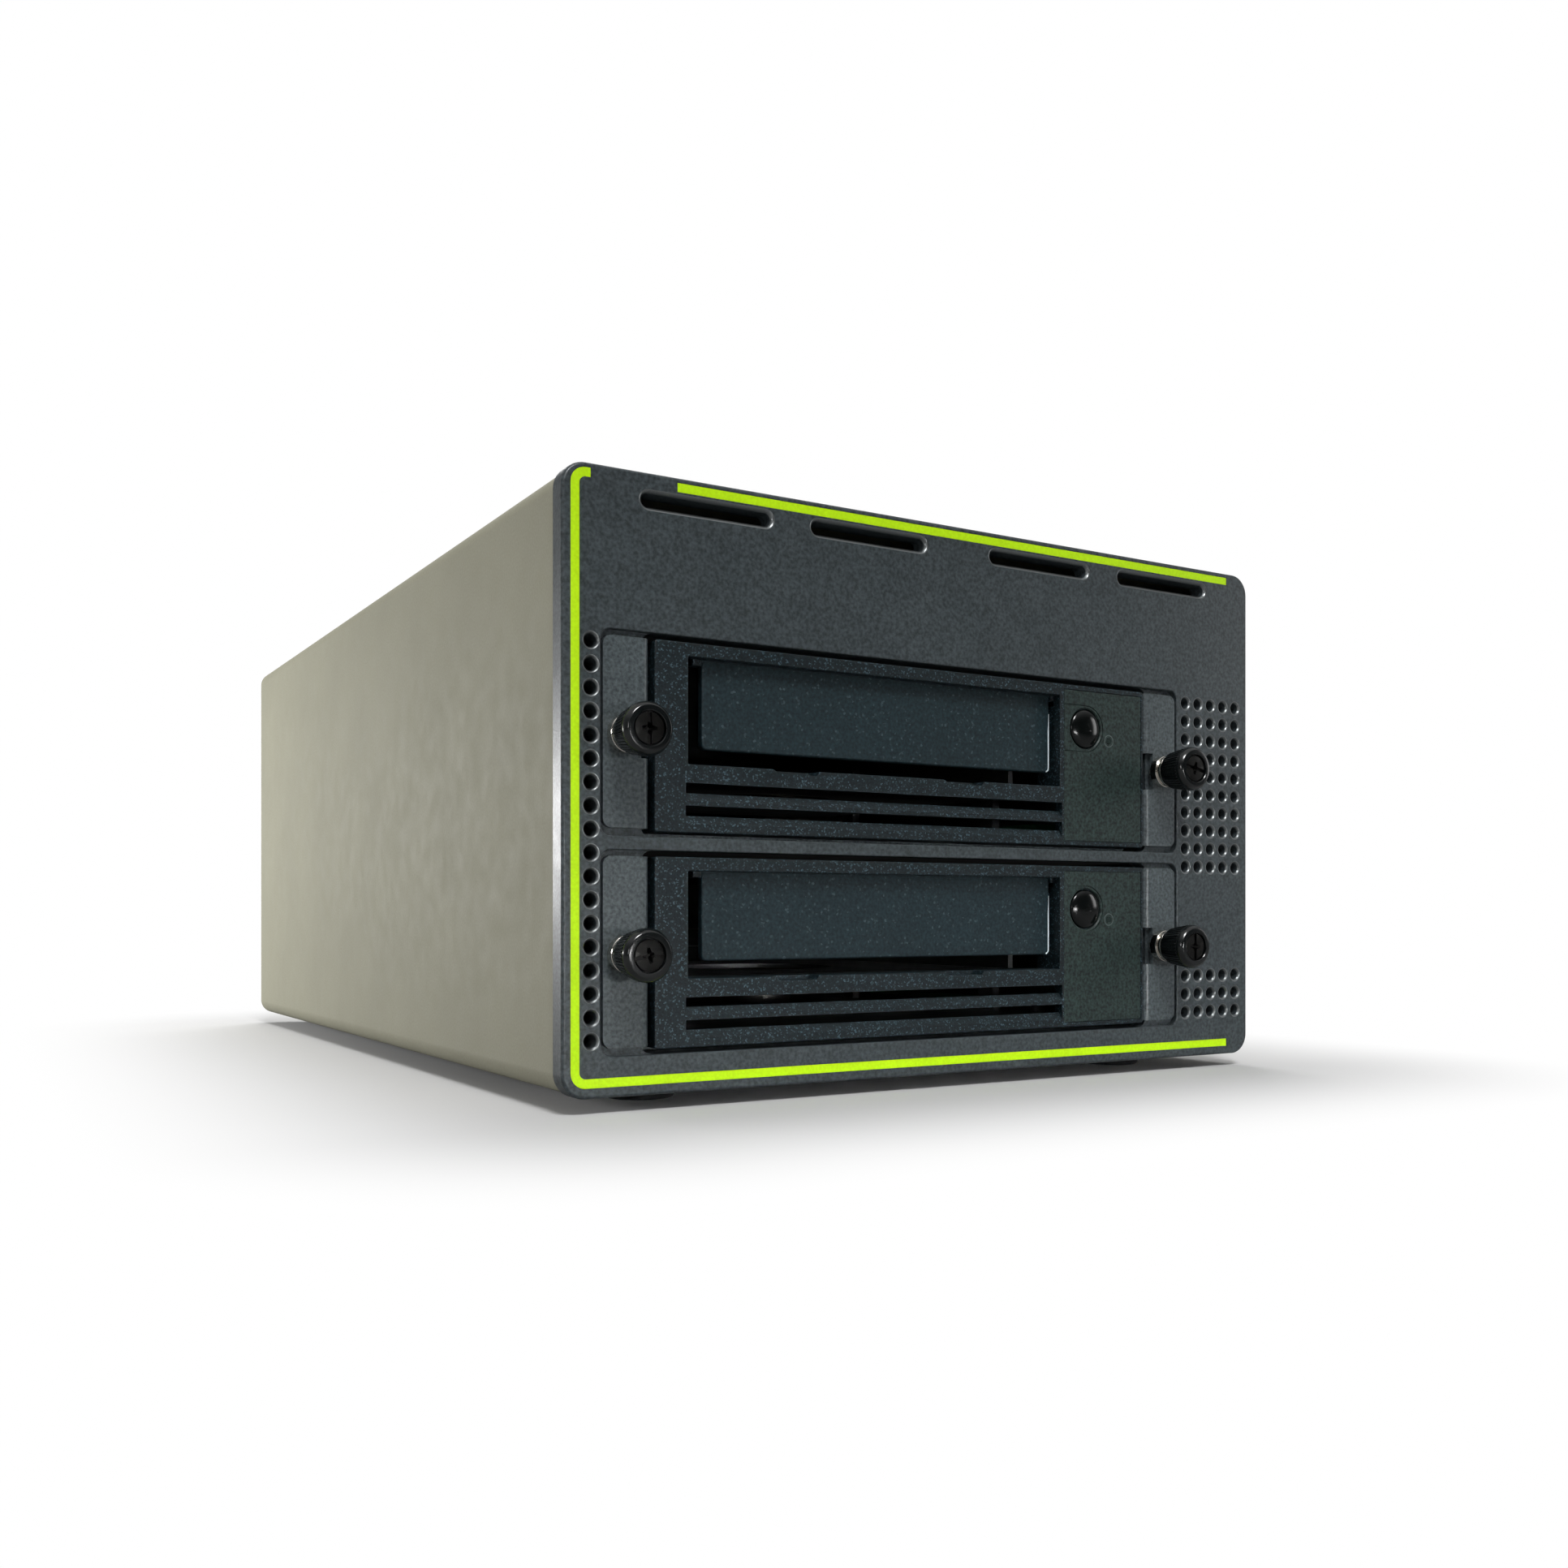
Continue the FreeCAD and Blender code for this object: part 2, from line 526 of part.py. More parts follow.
def make_front_bulkhead():
    """The steel frame behind the front panel, with the nuts of the thumbscrews."""
    piece = Piece("front_bulkhead")
    piece.pad("front", "panel_thick", [plate_outline()], "sheet")
    for bay, _ in BAYS:
        base = bay_base(bay)
        piece.cut("front", "panel_thick", [bay_opening(bay)], "sheet")
        places = [bay_x(f"{sign} * screw_out") for sign in (-1, 1)]
        seats = [circle(place, f"{base} + screw_up", "shank_hole") for place in places]
        piece.cut("front", "panel_thick", seats, "sheet")
    low = "(foot_clear + vent_low)"
    high = f"({low} + {VENT_ROWS - 1} * vent_pitch)"
    left = rect("-(vent_left_x + window_edge)", f"{low} - window_edge",
                "-(vent_left_x - window_edge)", f"{high} + window_edge")
    right = rect("vent_right_x - window_edge", f"{low} - window_edge",
                 "(panel_wide / 2 - vent_right_in + window_edge - edge_break)", f"{high} + window_edge")
    piece.cut("front", "panel_thick", [left, right], "sheet")
    slot_z = "foot_clear + air_slot_high"
    end = "(air_slot_outer + air_slot_long / 2)"
    top = obround("air_slot_shift", slot_z, f"(2 * {end} + window_edge)", "(air_slot_tall + edge_break)")
    piece.cut("front", "panel_thick", [top], "sheet")
    press_nuts(piece)


def press_nuts(piece):
    """The four nuts of the thumbscrews, one with the bulkhead that they are pressed into."""
    bore = "shank + run_gap"
    collar = rect("panel_thick", bore, f"{FRAME_BACK} + nut_long", "nut_out")
    nut = piece.turn("side", collar, level=bay_x("-screw_out"), up=f"{bay_base(0)} + screw_up")
    piece.repeat(nut, "X_Axis", "2 * screw_out", 2, ("Z_Axis", "bay_pitch", 2))


def make_drive_cage():
    """The two-storey cage that the sleds slide in, standing on the base pan."""
    piece = Piece("drive_cage")
    inner, outer = "bay_wide / 2", "(bay_wide / 2 + sheet)"
    floor, top = f"{bay_base(0)} - sheet", f"{bay_base(1)} + bay_tall + sheet"
    low, step = PAN_TOP, f"({PAN_TOP} + sheet)"
    outline = [
        (bay_x(f"-{outer} - cage_foot"), low), (bay_x(f"-{inner}"), low), (bay_x(f"-{inner}"), floor),
        (bay_x(inner), floor), (bay_x(inner), low), (bay_x(f"{outer} + cage_foot"), low),
        (bay_x(f"{outer} + cage_foot"), step), (bay_x(outer), step), (bay_x(outer), top),
        (bay_x(f"-{outer}"), top), (bay_x(f"-{outer}"), step), (bay_x(f"-{outer} - cage_foot"), step),
    ]
    bays = [
        rect(bay_x(f"-{inner}"), bay_base(bay), bay_x(inner), f"{bay_base(bay)} + bay_tall")
        for bay, _ in BAYS
    ]
    piece.pad("front", FRAME_BACK, [outline, *bays], "cage_deep")
    room = "(nut_out + plate_gap)"
    for bay, _ in BAYS:
        level = f"({bay_base(bay)} + screw_up)"
        behind = f"{FRAME_BACK} + nut_long + plate_gap"
        gap = rect(FRAME_BACK, f"{level} - {room}", behind, f"{level} + {room}")
        piece.cut("side", "panel_wide / 2", [gap], "panel_wide")


def make_rear_panel():
    """The back plate with the fan opening, the power cut-outs, sockets and vent slots."""
    piece = Piece("rear_panel")
    piece.pad("front", REAR_INNER, [plate_outline()], "sheet")
    holes = [circle("fan_x", "fan_up", "fan_bore")]
    for side in (-1, 1):
        holes += [
            circle(f"fan_x + {side} * fan_pitch / 2", f"fan_up + {end} * fan_pitch / 2", "fan_screw")
            for end in (-1, 1)
        ]
    holes.append(about("-inlet_x", "inlet_up", "inlet_wide", "inlet_tall"))
    holes.append(about("-switch_x", "inlet_up", "switch_wide", "switch_tall"))
    holes += [socket_outline(number, "port_gap") for number in range(2)]
    piece.cut("front", REAR_INNER, holes, "sheet")
    middle = "(supply_left + supply_right) / 2"
    slot = obround(f"-{middle}", f"{PAN_TOP} + supply_tall / 4", "supply_slot * 2", "pan_vent_wide / 2")
    vent = piece.cut("front", REAR_INNER, [slot], "sheet")
    piece.repeat(vent, "Z_Axis", "supply_pitch", REAR_VENTS)


def socket_outline(number, gap):
    """The outline of a data socket, grown all round by a gap."""
    middle = f"(-socket_x + {number} * socket_pitch)"
    return obround(middle, "socket_up", f"(socket_wide + 2 * {gap})", f"(socket_tall + 2 * {gap})")


def make_rubber_feet():
    """Four round feet under the base pan, slightly tapered, each with a screw dimple."""
    piece = Piece("rubber_feet")
    half = "foot_wide / 2"
    profile = [
        ("0", "foot_dimple / 2"), ("foot_dimple", "foot_dimple / 2"), ("foot_dimple", "0"),
        (f"{half} - foot_draft", "0"), (half, PAN_LOW), ("0", PAN_LOW),
    ]
    foot = piece.turn("front", profile, level="foot_in_y", across="-(panel_wide / 2 - foot_in_x)")
    span = "case_deep - 2 * foot_in_y"
    piece.repeat(foot, "X_Axis", "(panel_wide - 2 * foot_in_x)", 2, ("Y_Axis", f"({span})", 2))


def make_sled(bay, name):
    """A drive's sled: a folded tray whose front ears carry the thumbscrews."""
    piece = Piece(f"{name}_sled")
    base = bay_base(bay)
    outer, inner = "sled_half", "(sled_half - sheet)"
    low, floor, top = f"{base} + slide_gap", f"{base} + slide_gap + sheet", f"{base} + ear_low + ear_tall"
    tray = [
        (bay_x(f"-{outer}"), low), (bay_x(outer), low), (bay_x(outer), top), (bay_x(inner), top),
        (bay_x(inner), floor), (bay_x(f"-{inner}"), floor), (bay_x(f"-{inner}"), top),
        (bay_x(f"-{outer}"), top),
    ]
    start = "(bezel_deep + slide_gap)"
    piece.pad("front", start, [tray], f"sled_long - {start}")
    piece.dress("Fillet", "bend", lambda edge: along(edge, "y") and flat_at(edge, "Z", low)
                and near(abs(edge.CenterOfMass.x + value("bay_shift")), outer))
    face, back = "slide_gap", "(slide_gap + sheet)"
    for sign in (-1, 1):
        def side(offset):
            """A place on this side of the bay."""
            return bay_x(f"{sign} * ({offset})")
        mid_x, mid_y = side(f"{inner} + bend"), f"{face} + bend"
        ear = [
            (side(inner), start), (side(inner), mid_y, mid_x, mid_y), (mid_x, face),
            (side("ear_out"), face), (side("ear_out"), back), (mid_x, back, mid_x, mid_y),
            (side(outer), mid_y), (side(outer), start),
        ]
        piece.pad("top", f"{base} + ear_low", [ear], "ear_tall")
    piece.dress("Fillet", "ear_corner", lambda edge: along(edge, "y") and ear_corner(edge))
    level = f"({base} + screw_up)"
    for sign in (-1, 1):
        place = bay_x(f"{sign} * screw_out")
        piece.cut("front", "0", [circle(place, level, "ferrule_hole + port_gap / 2")], "bend + sheet")
        ends = sorted((f"{sign} * ({inner} - sheet)", f"{sign} * ({inner} + notch_deep)"), key=value)
        notch = rect(bay_x(ends[0]), f"{level} - notch_half", bay_x(ends[1]), f"{level} + notch_half")
        piece.cut("front", "0", [notch], "notch_back")


def ear_corner(edge):
    """Whether an edge is at the outer end of a sled's ear."""
    return abs(abs(edge.CenterOfMass.x + value("bay_shift")) - value("ear_out")) < 1e-4


def make_ferrules(bay, name):
    """The two bright collars pressed into a sled's ears."""
    piece = Piece(f"{name}_ferrules")
    face = "slide_gap"
    profile = [
        (f"{face} + sheet", "ferrule_bore"), (f"{face} + sheet", "ferrule_hole"), (face, "ferrule_hole"),
        (face, "ferrule_out"), (f"{face} - ferrule_step", "ferrule_out"),
        (f"{face} - ferrule_step", "ferrule_neck"), (f"{face} - ferrule_long", "ferrule_neck"),
        (f"{face} - ferrule_long", "ferrule_bore"),
    ]
    collar = piece.turn("side", profile, level=bay_x("-screw_out"), up=f"{bay_base(bay)} + screw_up")
    piece.repeat(collar, "X_Axis", "2 * screw_out", 2)


def make_thumbscrew(name, bay, sign):
    """A captive thumbscrew: thrust washer, knob and the screw through both."""
    place = {"level": bay_x(f"{sign} * screw_out"), "up": f"{bay_base(bay)} + screw_up"}
    washer_back = "(-ferrule_long)"
    washer_front = f"({washer_back} - washer_thick)"
    ring = [
        (washer_back, "shank + plate_gap"), (washer_back, "washer_out"),
        (washer_front, "washer_out"), (washer_front, "shank + plate_gap"),
    ]
    Piece(f"{name}_washer").turn("side", ring, **place)
    back, front = f"({washer_front} - slide_gap)", "(-knob_reach)"
    cup = f"({front} + knob_cup_deep)"
    grip = [
        (back, "shank + run_gap / 2"), (back, "knob_back - knob_lip"), (f"{back} - knob_lip", "knob_back"),
        (f"{front} + knob_band", "knob_wide"), (f"{front} + knob_lip", "knob_wide - knob_lip"),
        (front, "knob_front"), (front, "knob_cup"), (cup, "knob_cup"), (cup, "shank + run_gap / 2"),
    ]
    Piece(f"{name}_knob").turn("side", grip, **place)
    crown = f"({cup} - head_thick)"
    bolt = [
        (crown, "0"), (crown, "head_out - knob_lip"), (f"{crown} + knob_lip", "head_out"),
        (cup, "head_out"), (cup, "shank"), ("screw_tip - knob_lip", "shank"),
        ("screw_tip", "shank - knob_lip"), ("screw_tip", "0"),
    ]
    Piece(f"{name}_screw").turn("side", bolt, **place)


def make_bezel(bay, name):
    """A drive's front bezel: slot with sill, hinge lugs for the door, two grille slots."""
    piece = Piece(f"{name}_drive_bezel")
    base = bay_base(bay)
    low, high = f"({base} + bezel_low)", f"({base} + bezel_low + bezel_tall)"
    left, right = bay_x("-bezel_half"), bay_x("bezel_half")
    piece.pad("front", "0", [rounded(left, low, right, high, "bezel_wall")], "bezel_deep")
    hollow = rect(f"{left} + bezel_wall", f"{low} + bezel_wall", f"{right} - bezel_wall",
                  f"{high} - bezel_wall")
    piece.cut("front", "bezel_skin", [hollow], "bezel_deep")
    slot_left, slot_right = bay_x("-slot_left"), bay_x("slot_right")
    sill = f"{base} + slot_low"
    walls = [
        (f"{slot_left} - sill_thick", f"{sill} - sill_thick"),
        (f"{slot_right} + bezel_wall - slide_gap", f"{sill} - sill_thick"),
        (f"{slot_right} + bezel_wall - slide_gap", f"{base} + lug_low - sill_thick"),
        (slot_right, f"{base} + lug_low - sill_thick"), (slot_right, sill), (slot_left, sill),
        (slot_left, f"{base} + lug_low - sill_thick"),
        (f"{slot_left} - sill_thick", f"{base} + lug_low - sill_thick"),
    ]
    piece.pad("front", "bezel_skin", [walls], "bezel_deep - bezel_skin")
    lugs = []
    ends = (("-door_left - slide_gap - lug_wide", "-door_left - slide_gap"),
            ("door_right + slide_gap", "door_right + slide_gap + lug_wide"))
    for start, end in ends:
        lugs.append(rect(bay_x(start), f"{base} + lug_low", bay_x(end), f"{high} - bezel_wall"))
    piece.pad("front", "bezel_skin", lugs, "lug_deep - bezel_skin")
    bore = [circle("hinge_in", f"{base} + hinge_up", "pin + run_gap")]
    length = "door_left + door_right + 2 * lug_wide + 2 * bezel_side"
    piece.cut("side", bay_x("door_right + slide_gap + lug_wide"), bore, length)
    piece.cut("front", "0", [rect(slot_left, sill, slot_right, f"{base} + slot_high")], "bezel_skin")
    start, end = f"({slot_left} - grille_over)", f"({slot_right} + grille_over)"
    for up in ("grille_one", "grille_two"):
        foot = f"({base} + {up})"
        piece.cut("front", "0", [rect(start, foot, end, f"{foot} + grille_tall")], "bezel_skin")
        wedge = [("0", f"{foot} - grille_slope"), ("grille_lean", foot), ("0", foot)]
        piece.cut("side", end, [wedge], f"{end} - {start}")
    notches = [sill_notch(start, sill) for start in ("-notch_one", "notch_two")]
    piece.cut("front", "0", notches, "bezel_deep / 2")
    recess = rect(bay_x("insert_left"), f"{base} + insert_low", bay_x("insert_right"),
                  f"{base} + insert_high")
    piece.cut("front", "0", [recess], "insert_deep")
    piece.cut("front", "0", control_holes(base), "bezel_skin")


def sill_notch(start, sill):
    """A notch in the sill of the cartridge slot, with a long ramp on its left."""
    left, right = bay_x(start), bay_x(f"{start} + notch_wide")
    return [
        (left, sill), (f"{left} + notch_ramp", f"{sill} - sill_notch"),
        (f"{right} - notch_end", f"{sill} - sill_notch"), (right, sill), (right, f"{sill} + sill_notch"),
        (left, f"{sill} + sill_notch"),
    ]


def control_holes(base):
    """The holes of the eject button and of the light, in the bezel and its insert alike."""
    return [
        circle(bay_x("button_x"), f"{base} + button_up", "button_half + button_gap"),
        circle(bay_x("light_x"), f"{base} + light_up", "light_half + port_gap"),
    ]


def make_controls(bay, name):
    """The control insert with its eject button and light pipe."""
    base = bay_base(bay)
    piece = Piece(f"{name}_control_insert")
    plate = rect(bay_x("insert_left + insert_gap"), f"{base} + insert_low + insert_gap",
                 bay_x("insert_right - insert_gap"), f"{base} + insert_high - insert_gap")
    piece.pad("front", "0", [plate], "insert_deep")
    piece.cut("front", "0", control_holes(base), "insert_deep")
    dome = [
        ("-button_dome", "0"), ("-button_dome / 2", "button_half - button_crown"),
        ("button_dome / 2", "button_half"),
        ("button_long", "button_half"), ("button_long", "0"),
    ]
    place = {"level": bay_x("button_x"), "up": f"{base} + button_up"}
    Piece(f"{name}_eject_button").turn("side", dome, **place)
    rod = [circle(bay_x("light_x"), f"{base} + light_up", "light_half")]
    Piece(f"{name}_light_pipe").pad("front", "0", rod, "light_long")


def make_door(bay, name):
    """The cartridge door, which swings inwards on two pins at its top edge."""
    piece = Piece(f"{name}_cartridge_door")
    base = bay_base(bay)
    left, right = bay_x("-door_left"), bay_x("door_right")
    panel = rect(left, f"{base} + door_low", right, f"{base} + hinge_up")
    piece.pad("front", "door_front", [panel], "door_thick")
    piece.dress("Fillet", "door_corner", lambda edge: along(edge, "y") and near(edge.CenterOfMass.z,
                f"{base} + door_low"))
    axis = f"{base} + hinge_up"
    piece.pad("side", left, [circle("hinge_in", axis, "barrel")], "door_left + door_right")
    ends = f"{left} - slide_gap - pin_long"
    piece.pad("side", ends, [circle("hinge_in", axis, "pin")],
              "door_left + door_right + 2 * slide_gap + 2 * pin_long")


def make_drive_frame(bay, name):
    """The drive's chassis: an open tray with guide posts, reel boss and spindle."""
    piece = Piece(f"{name}_drive_frame")
    base = bay_base(bay)
    low, top = f"({base} + slide_gap + sheet)", f"({base} + slide_gap + sheet + drive_tall - lid_thick)"
    floor = f"({low} + drive_floor)"
    left, right = bay_x("-drive_half"), bay_x("drive_half")
    back = "(bezel_deep + drive_long)"
    piece.pad("top", low, [rect(left, "bezel_deep", right, back)], f"{top} - {low}")
    room = rect(f"{left} + drive_wall", "bezel_deep - drive_wall", f"{right} - drive_wall",
                f"{back} - drive_wall")
    piece.cut("top", top, [room], f"{top} - {floor}")
    posts = []
    half = "(cartridge_wide / 2 + tray_wall + post_gap)"
    for start in ("post_one", "post_two"):
        end = f"{start} + post_deep"
        posts.append(rect(f"{left} + drive_wall / 2", start, bay_x(f"-tray_mid - {half}"), end))
        inner = bay_x(f"-tray_mid + {half}")
        posts.append(rect(inner, start, f"{inner} + post_thick", end))
    piece.pad("top", floor, posts, "post_tall")
    boss = [circle(bay_x("-tray_mid"), "reel_y", "boss_half")]
    piece.pad("top", floor, boss, "reel_up - slide_gap")
    pin = [circle(bay_x("-tray_mid"), "reel_y", "spindle")]
    piece.pad("top", floor, pin, "reel_up + reel_tall")
    stub = [circle(bay_x("-tray_mid"), "hub_y", "spindle")]
    piece.pad("top", floor, stub, "motor_tall - drive_wall - slide_gap")
    pillars = [
        circle(bay_x(f"{side} + {turn} * 2 * drive_wall"), place, "drive_wall")
        for side, turn in (("board_left", 1), ("board_right", -1))
        for place in ("board_start + 2 * drive_wall", "board_end - 2 * drive_wall")
    ]
    piece.pad("top", floor, pillars, "board_up")
    port = rect(bay_x("port_left"), f"{floor} + port_low", bay_x("port_right"),
                f"{floor} + port_low + port_tall")
    piece.cut("front", f"{back} - 2 * drive_wall", [port], "3 * drive_wall")


def make_drive_lid(bay, name):
    """The drive's top cover, with a shallow pressed field."""
    piece = Piece(f"{name}_drive_lid")
    top = f"({bay_base(bay)} + slide_gap + sheet + drive_tall)"
    left, right = bay_x("-drive_half"), bay_x("drive_half")
    back = "(bezel_deep + drive_long)"
    piece.pad("top", f"{top} - lid_thick", [rect(left, "bezel_deep", right, back)], "lid_thick")
    field = rounded(f"{left} + lid_rim", "bezel_deep + lid_rim", f"{right} - lid_rim",
                    f"{back} - lid_rim", "lid_rim")
    piece.cut("top", top, [field], "lid_emboss")


def make_tray(bay, name):
    """The cartridge tray, which lowers a cartridge on to the hub motor."""
    piece = Piece(f"{name}_cartridge_tray")
    low = f"({bay_base(bay)} + slide_gap + sheet + tray_up)"
    floor = f"({low} + tray_floor)"
    inner, outer = "cartridge_wide / 2", "(cartridge_wide / 2 + tray_wall)"
    outline = [
        (bay_x(f"-tray_mid - {outer}"), low), (bay_x(f"-tray_mid + {outer}"), low),
        (bay_x(f"-tray_mid + {outer}"), f"{floor} + tray_side"),
        (bay_x(f"-tray_mid + {inner}"), f"{floor} + tray_side"), (bay_x(f"-tray_mid + {inner}"), floor),
        (bay_x(f"-tray_mid - {inner}"), floor), (bay_x(f"-tray_mid - {inner}"), f"{floor} + tray_side"),
        (bay_x(f"-tray_mid - {outer}"), f"{floor} + tray_side"),
    ]
    piece.pad("front", "tray_start", [outline], "tray_long")
    piece.cut("top", floor, [circle(bay_x("-tray_mid"), "hub_y", "hub_hole")], "2 * tray_floor")


def make_mechanism(bay, name):
    """What moves the tape: hub motor, take-up reel, head block and circuit board."""
    base = bay_base(bay)
    floor = f"({base} + slide_gap + sheet + drive_floor)"
    middle = bay_x("-tray_mid")
    step = "(motor_tall - drive_wall)"
    rotor = [
        ("spindle + run_gap", "slide_gap"), ("motor_half", "slide_gap"), ("motor_half", step),
        ("motor_half / 2", step), ("motor_half / 2", "motor_tall"), ("0", "motor_tall"), ("0", step),
        ("spindle + run_gap", step),
    ]
    Piece(f"{name}_hub_motor").turn("front", rotor, level="hub_y", across=middle, up=floor)
    start, top = "reel_up", "(reel_up + reel_tall)"
    reel = [
        ("spindle + run_gap", start), ("reel_half", start), ("reel_half", f"{start} + reel_flange"),
        ("reel_core", f"{start} + reel_flange"), ("reel_core", f"{top} - reel_flange"),
        ("reel_half", f"{top} - reel_flange"), ("reel_half", top), ("spindle + run_gap", top),
    ]
    Piece(f"{name}_takeup_reel").turn("front", reel, level="reel_y", across=middle, up=floor)
    block = Piece(f"{name}_head_block")
    left, right = bay_x("head_left"), bay_x("head_right")
    outline = [
        (left, "head_start + head_nose"), (f"{left} + head_nose", "head_start"), (right, "head_start"),
        (right, "head_end"), (f"{left} + head_nose", "head_end"), (left, "head_end - head_nose"),
    ]
    block.pad("top", floor, [outline], "head_tall")
    board = Piece(f"{name}_drive_board")
    left, right = bay_x("board_left"), bay_x("board_right")
    card = rect(left, "board_start", right, "board_end")
    board.pad("top", f"{floor} + board_up", [card], "board_thick")
    plug = Piece(f"{name}_data_connector")
    back = "(bezel_deep + drive_long)"
    shell = rect(bay_x("port_left + port_gap"), f"{floor} + port_low + port_gap",
                 bay_x("port_right - port_gap"), f"{floor} + port_low + port_tall - port_gap")
    plug.pad("front", f"{back} - port_tall", [shell], "port_tall + port_back")


def make_fan():
    """The rear fan: square frame with struts, bladed rotor and wire guard."""
    start = f"({REAR_INNER} - fan_deep)"
    half = "fan_side / 2"
    frame = Piece("fan_frame")
    square = rounded(f"fan_x - {half}", f"fan_up - {half}", f"fan_x + {half}", f"fan_up + {half}",
                     "fan_strut")
    frame.pad("front", start, [square], "fan_deep")
    frame.cut("front", start, [circle("fan_x", "fan_up", "fan_bore")], "fan_deep")
    strut = "fan_strut / 2"
    reach = "(fan_bore + fan_run)"
    frame.pad("front", start, [circle("fan_x", "fan_up", "fan_hub")], "fan_mount")
    frame.pad("front", start, [rect(f"fan_x - {reach}", f"fan_up - {strut}", f"fan_x + {reach}",
                                    f"fan_up + {strut}")], "fan_mount")
    frame.pad("front", start, [rect(f"fan_x - {strut}", f"fan_up - {reach}", f"fan_x + {strut}",
                                    f"fan_up + {reach}")], "fan_mount")
    frame.cut("front", start, [circle("fan_x", "fan_up", "fan_axle + run_gap")], "fan_mount")
    rotor = Piece("fan_rotor")
    first, last = f"({start} + fan_mount + fan_run)", f"({REAR_INNER} - fan_run)"
    place = {"level": "fan_x", "up": "fan_up"}
    hub = [
        (start, "0"), (start, "fan_axle"), (first, "fan_axle"), (first, "fan_hub"), (last, "fan_hub"),
        (last, "0"),
    ]
    rotor.turn("side", hub, **place)
    root, tip = "(fan_hub - blade_root)", "(fan_tip - blade_root)"
    lean = "(fan_up + fan_hub / 2)"
    blade = [
        (f"fan_x + {root}", "fan_up"), (f"fan_x + {tip}", lean),
        (f"fan_x + {tip} - fan_run", f"{lean} + blade_thick"), (f"fan_x + {root}", "fan_up + blade_thick"),
    ]
    vane = rotor.pad("front", first, [blade], f"{last} - {first}")
    spindle = rotor.draw("side", "fan_x", [rect(first, "0", last, "fan_axle")], up="fan_up")
    DOC.recompute()
    rotor.round_about(vane, (spindle, ["H_Axis"]), BLADES)
    make_fan_guard()


def make_fan_guard():
    """The wire guard on the back: rings joined by two crossing wires."""
    rings = []
    for number in range(GUARD_RINGS):
        ring = DOC.addObject("Part::Torus", f"guard_ring_{number}")
        ring.setExpression("Radius1", bind(f"guard_first + {number} * guard_step"))
        ring.setExpression("Radius2", bind("wire"))
        ring.Placement.Rotation = FreeCAD.Rotation(Vector(1, 0, 0), 90)
        ring.setExpression("Placement.Base.x", bind("fan_x"))
        ring.setExpression("Placement.Base.y", bind(f"{REAR_FACE} + wire"))
        ring.setExpression("Placement.Base.z", bind("fan_up"))
        rings.append(ring)
    reach = f"(guard_first + {GUARD_RINGS - 1} * guard_step)"
    for name, axis in (("lying", Vector(0, 1, 0)), ("upright", Vector(0, 0, 1))):
        bar = DOC.addObject("Part::Cylinder", f"guard_{name}_wire")
        bar.setExpression("Radius", bind("wire"))
        bar.setExpression("Height", bind(f"2 * {reach}"))
        bar.Placement.Rotation = FreeCAD.Rotation(axis, 90 if name == "lying" else 0)
        bar.setExpression("Placement.Base.x", bind(f"fan_x - {reach}" if name == "lying" else "fan_x"))
        bar.setExpression("Placement.Base.y", bind(f"{REAR_FACE} + wire"))
        bar.setExpression("Placement.Base.z", bind("fan_up" if name == "lying" else f"fan_up - {reach}"))
        rings.append(bar)
    guard = DOC.addObject("Part::MultiFuse", "fan_guard")
    guard.Shapes = rings
    guard.Label = "fan_guard"
    guard.setExpression("Placement.Base.y", bind(f"-({MIDDLE})"))
    PIECES["fan_guard"] = guard


def make_power_inlet():
    """The three-pin mains inlet, flanged on the outside of the back plate."""
    piece = Piece("power_inlet")
    place = ("-inlet_x", "inlet_up")
    front = f"({REAR_FACE} + inlet_flange - inlet_deep)"
    body = about(*place, "(inlet_wide - 2 * port_gap)", "(inlet_tall - 2 * port_gap)")
    piece.pad("front", front, [body], "inlet_deep")
    flange = about(*place, "(inlet_wide + 2 * inlet_rim)", "(inlet_tall + 2 * inlet_rim)")
    piece.pad("front", REAR_FACE, [flange], "inlet_flange")
    mouth = f"({REAR_FACE} + inlet_flange - cavity_deep)"
    piece.cut("front", mouth, [about(*place, "cavity_wide", "cavity_tall")], "cavity_deep")
    prongs = []
    for across, up in (("-prong_side", "-prong_up"), ("0", "prong_up"), ("prong_side", "-prong_up")):
        prongs.append(about(f"{place[0]} + {across}", f"{place[1]} + {up}", "pin_thick", "pin_wide"))
    piece.pad("front", mouth, prongs, "prong_long")


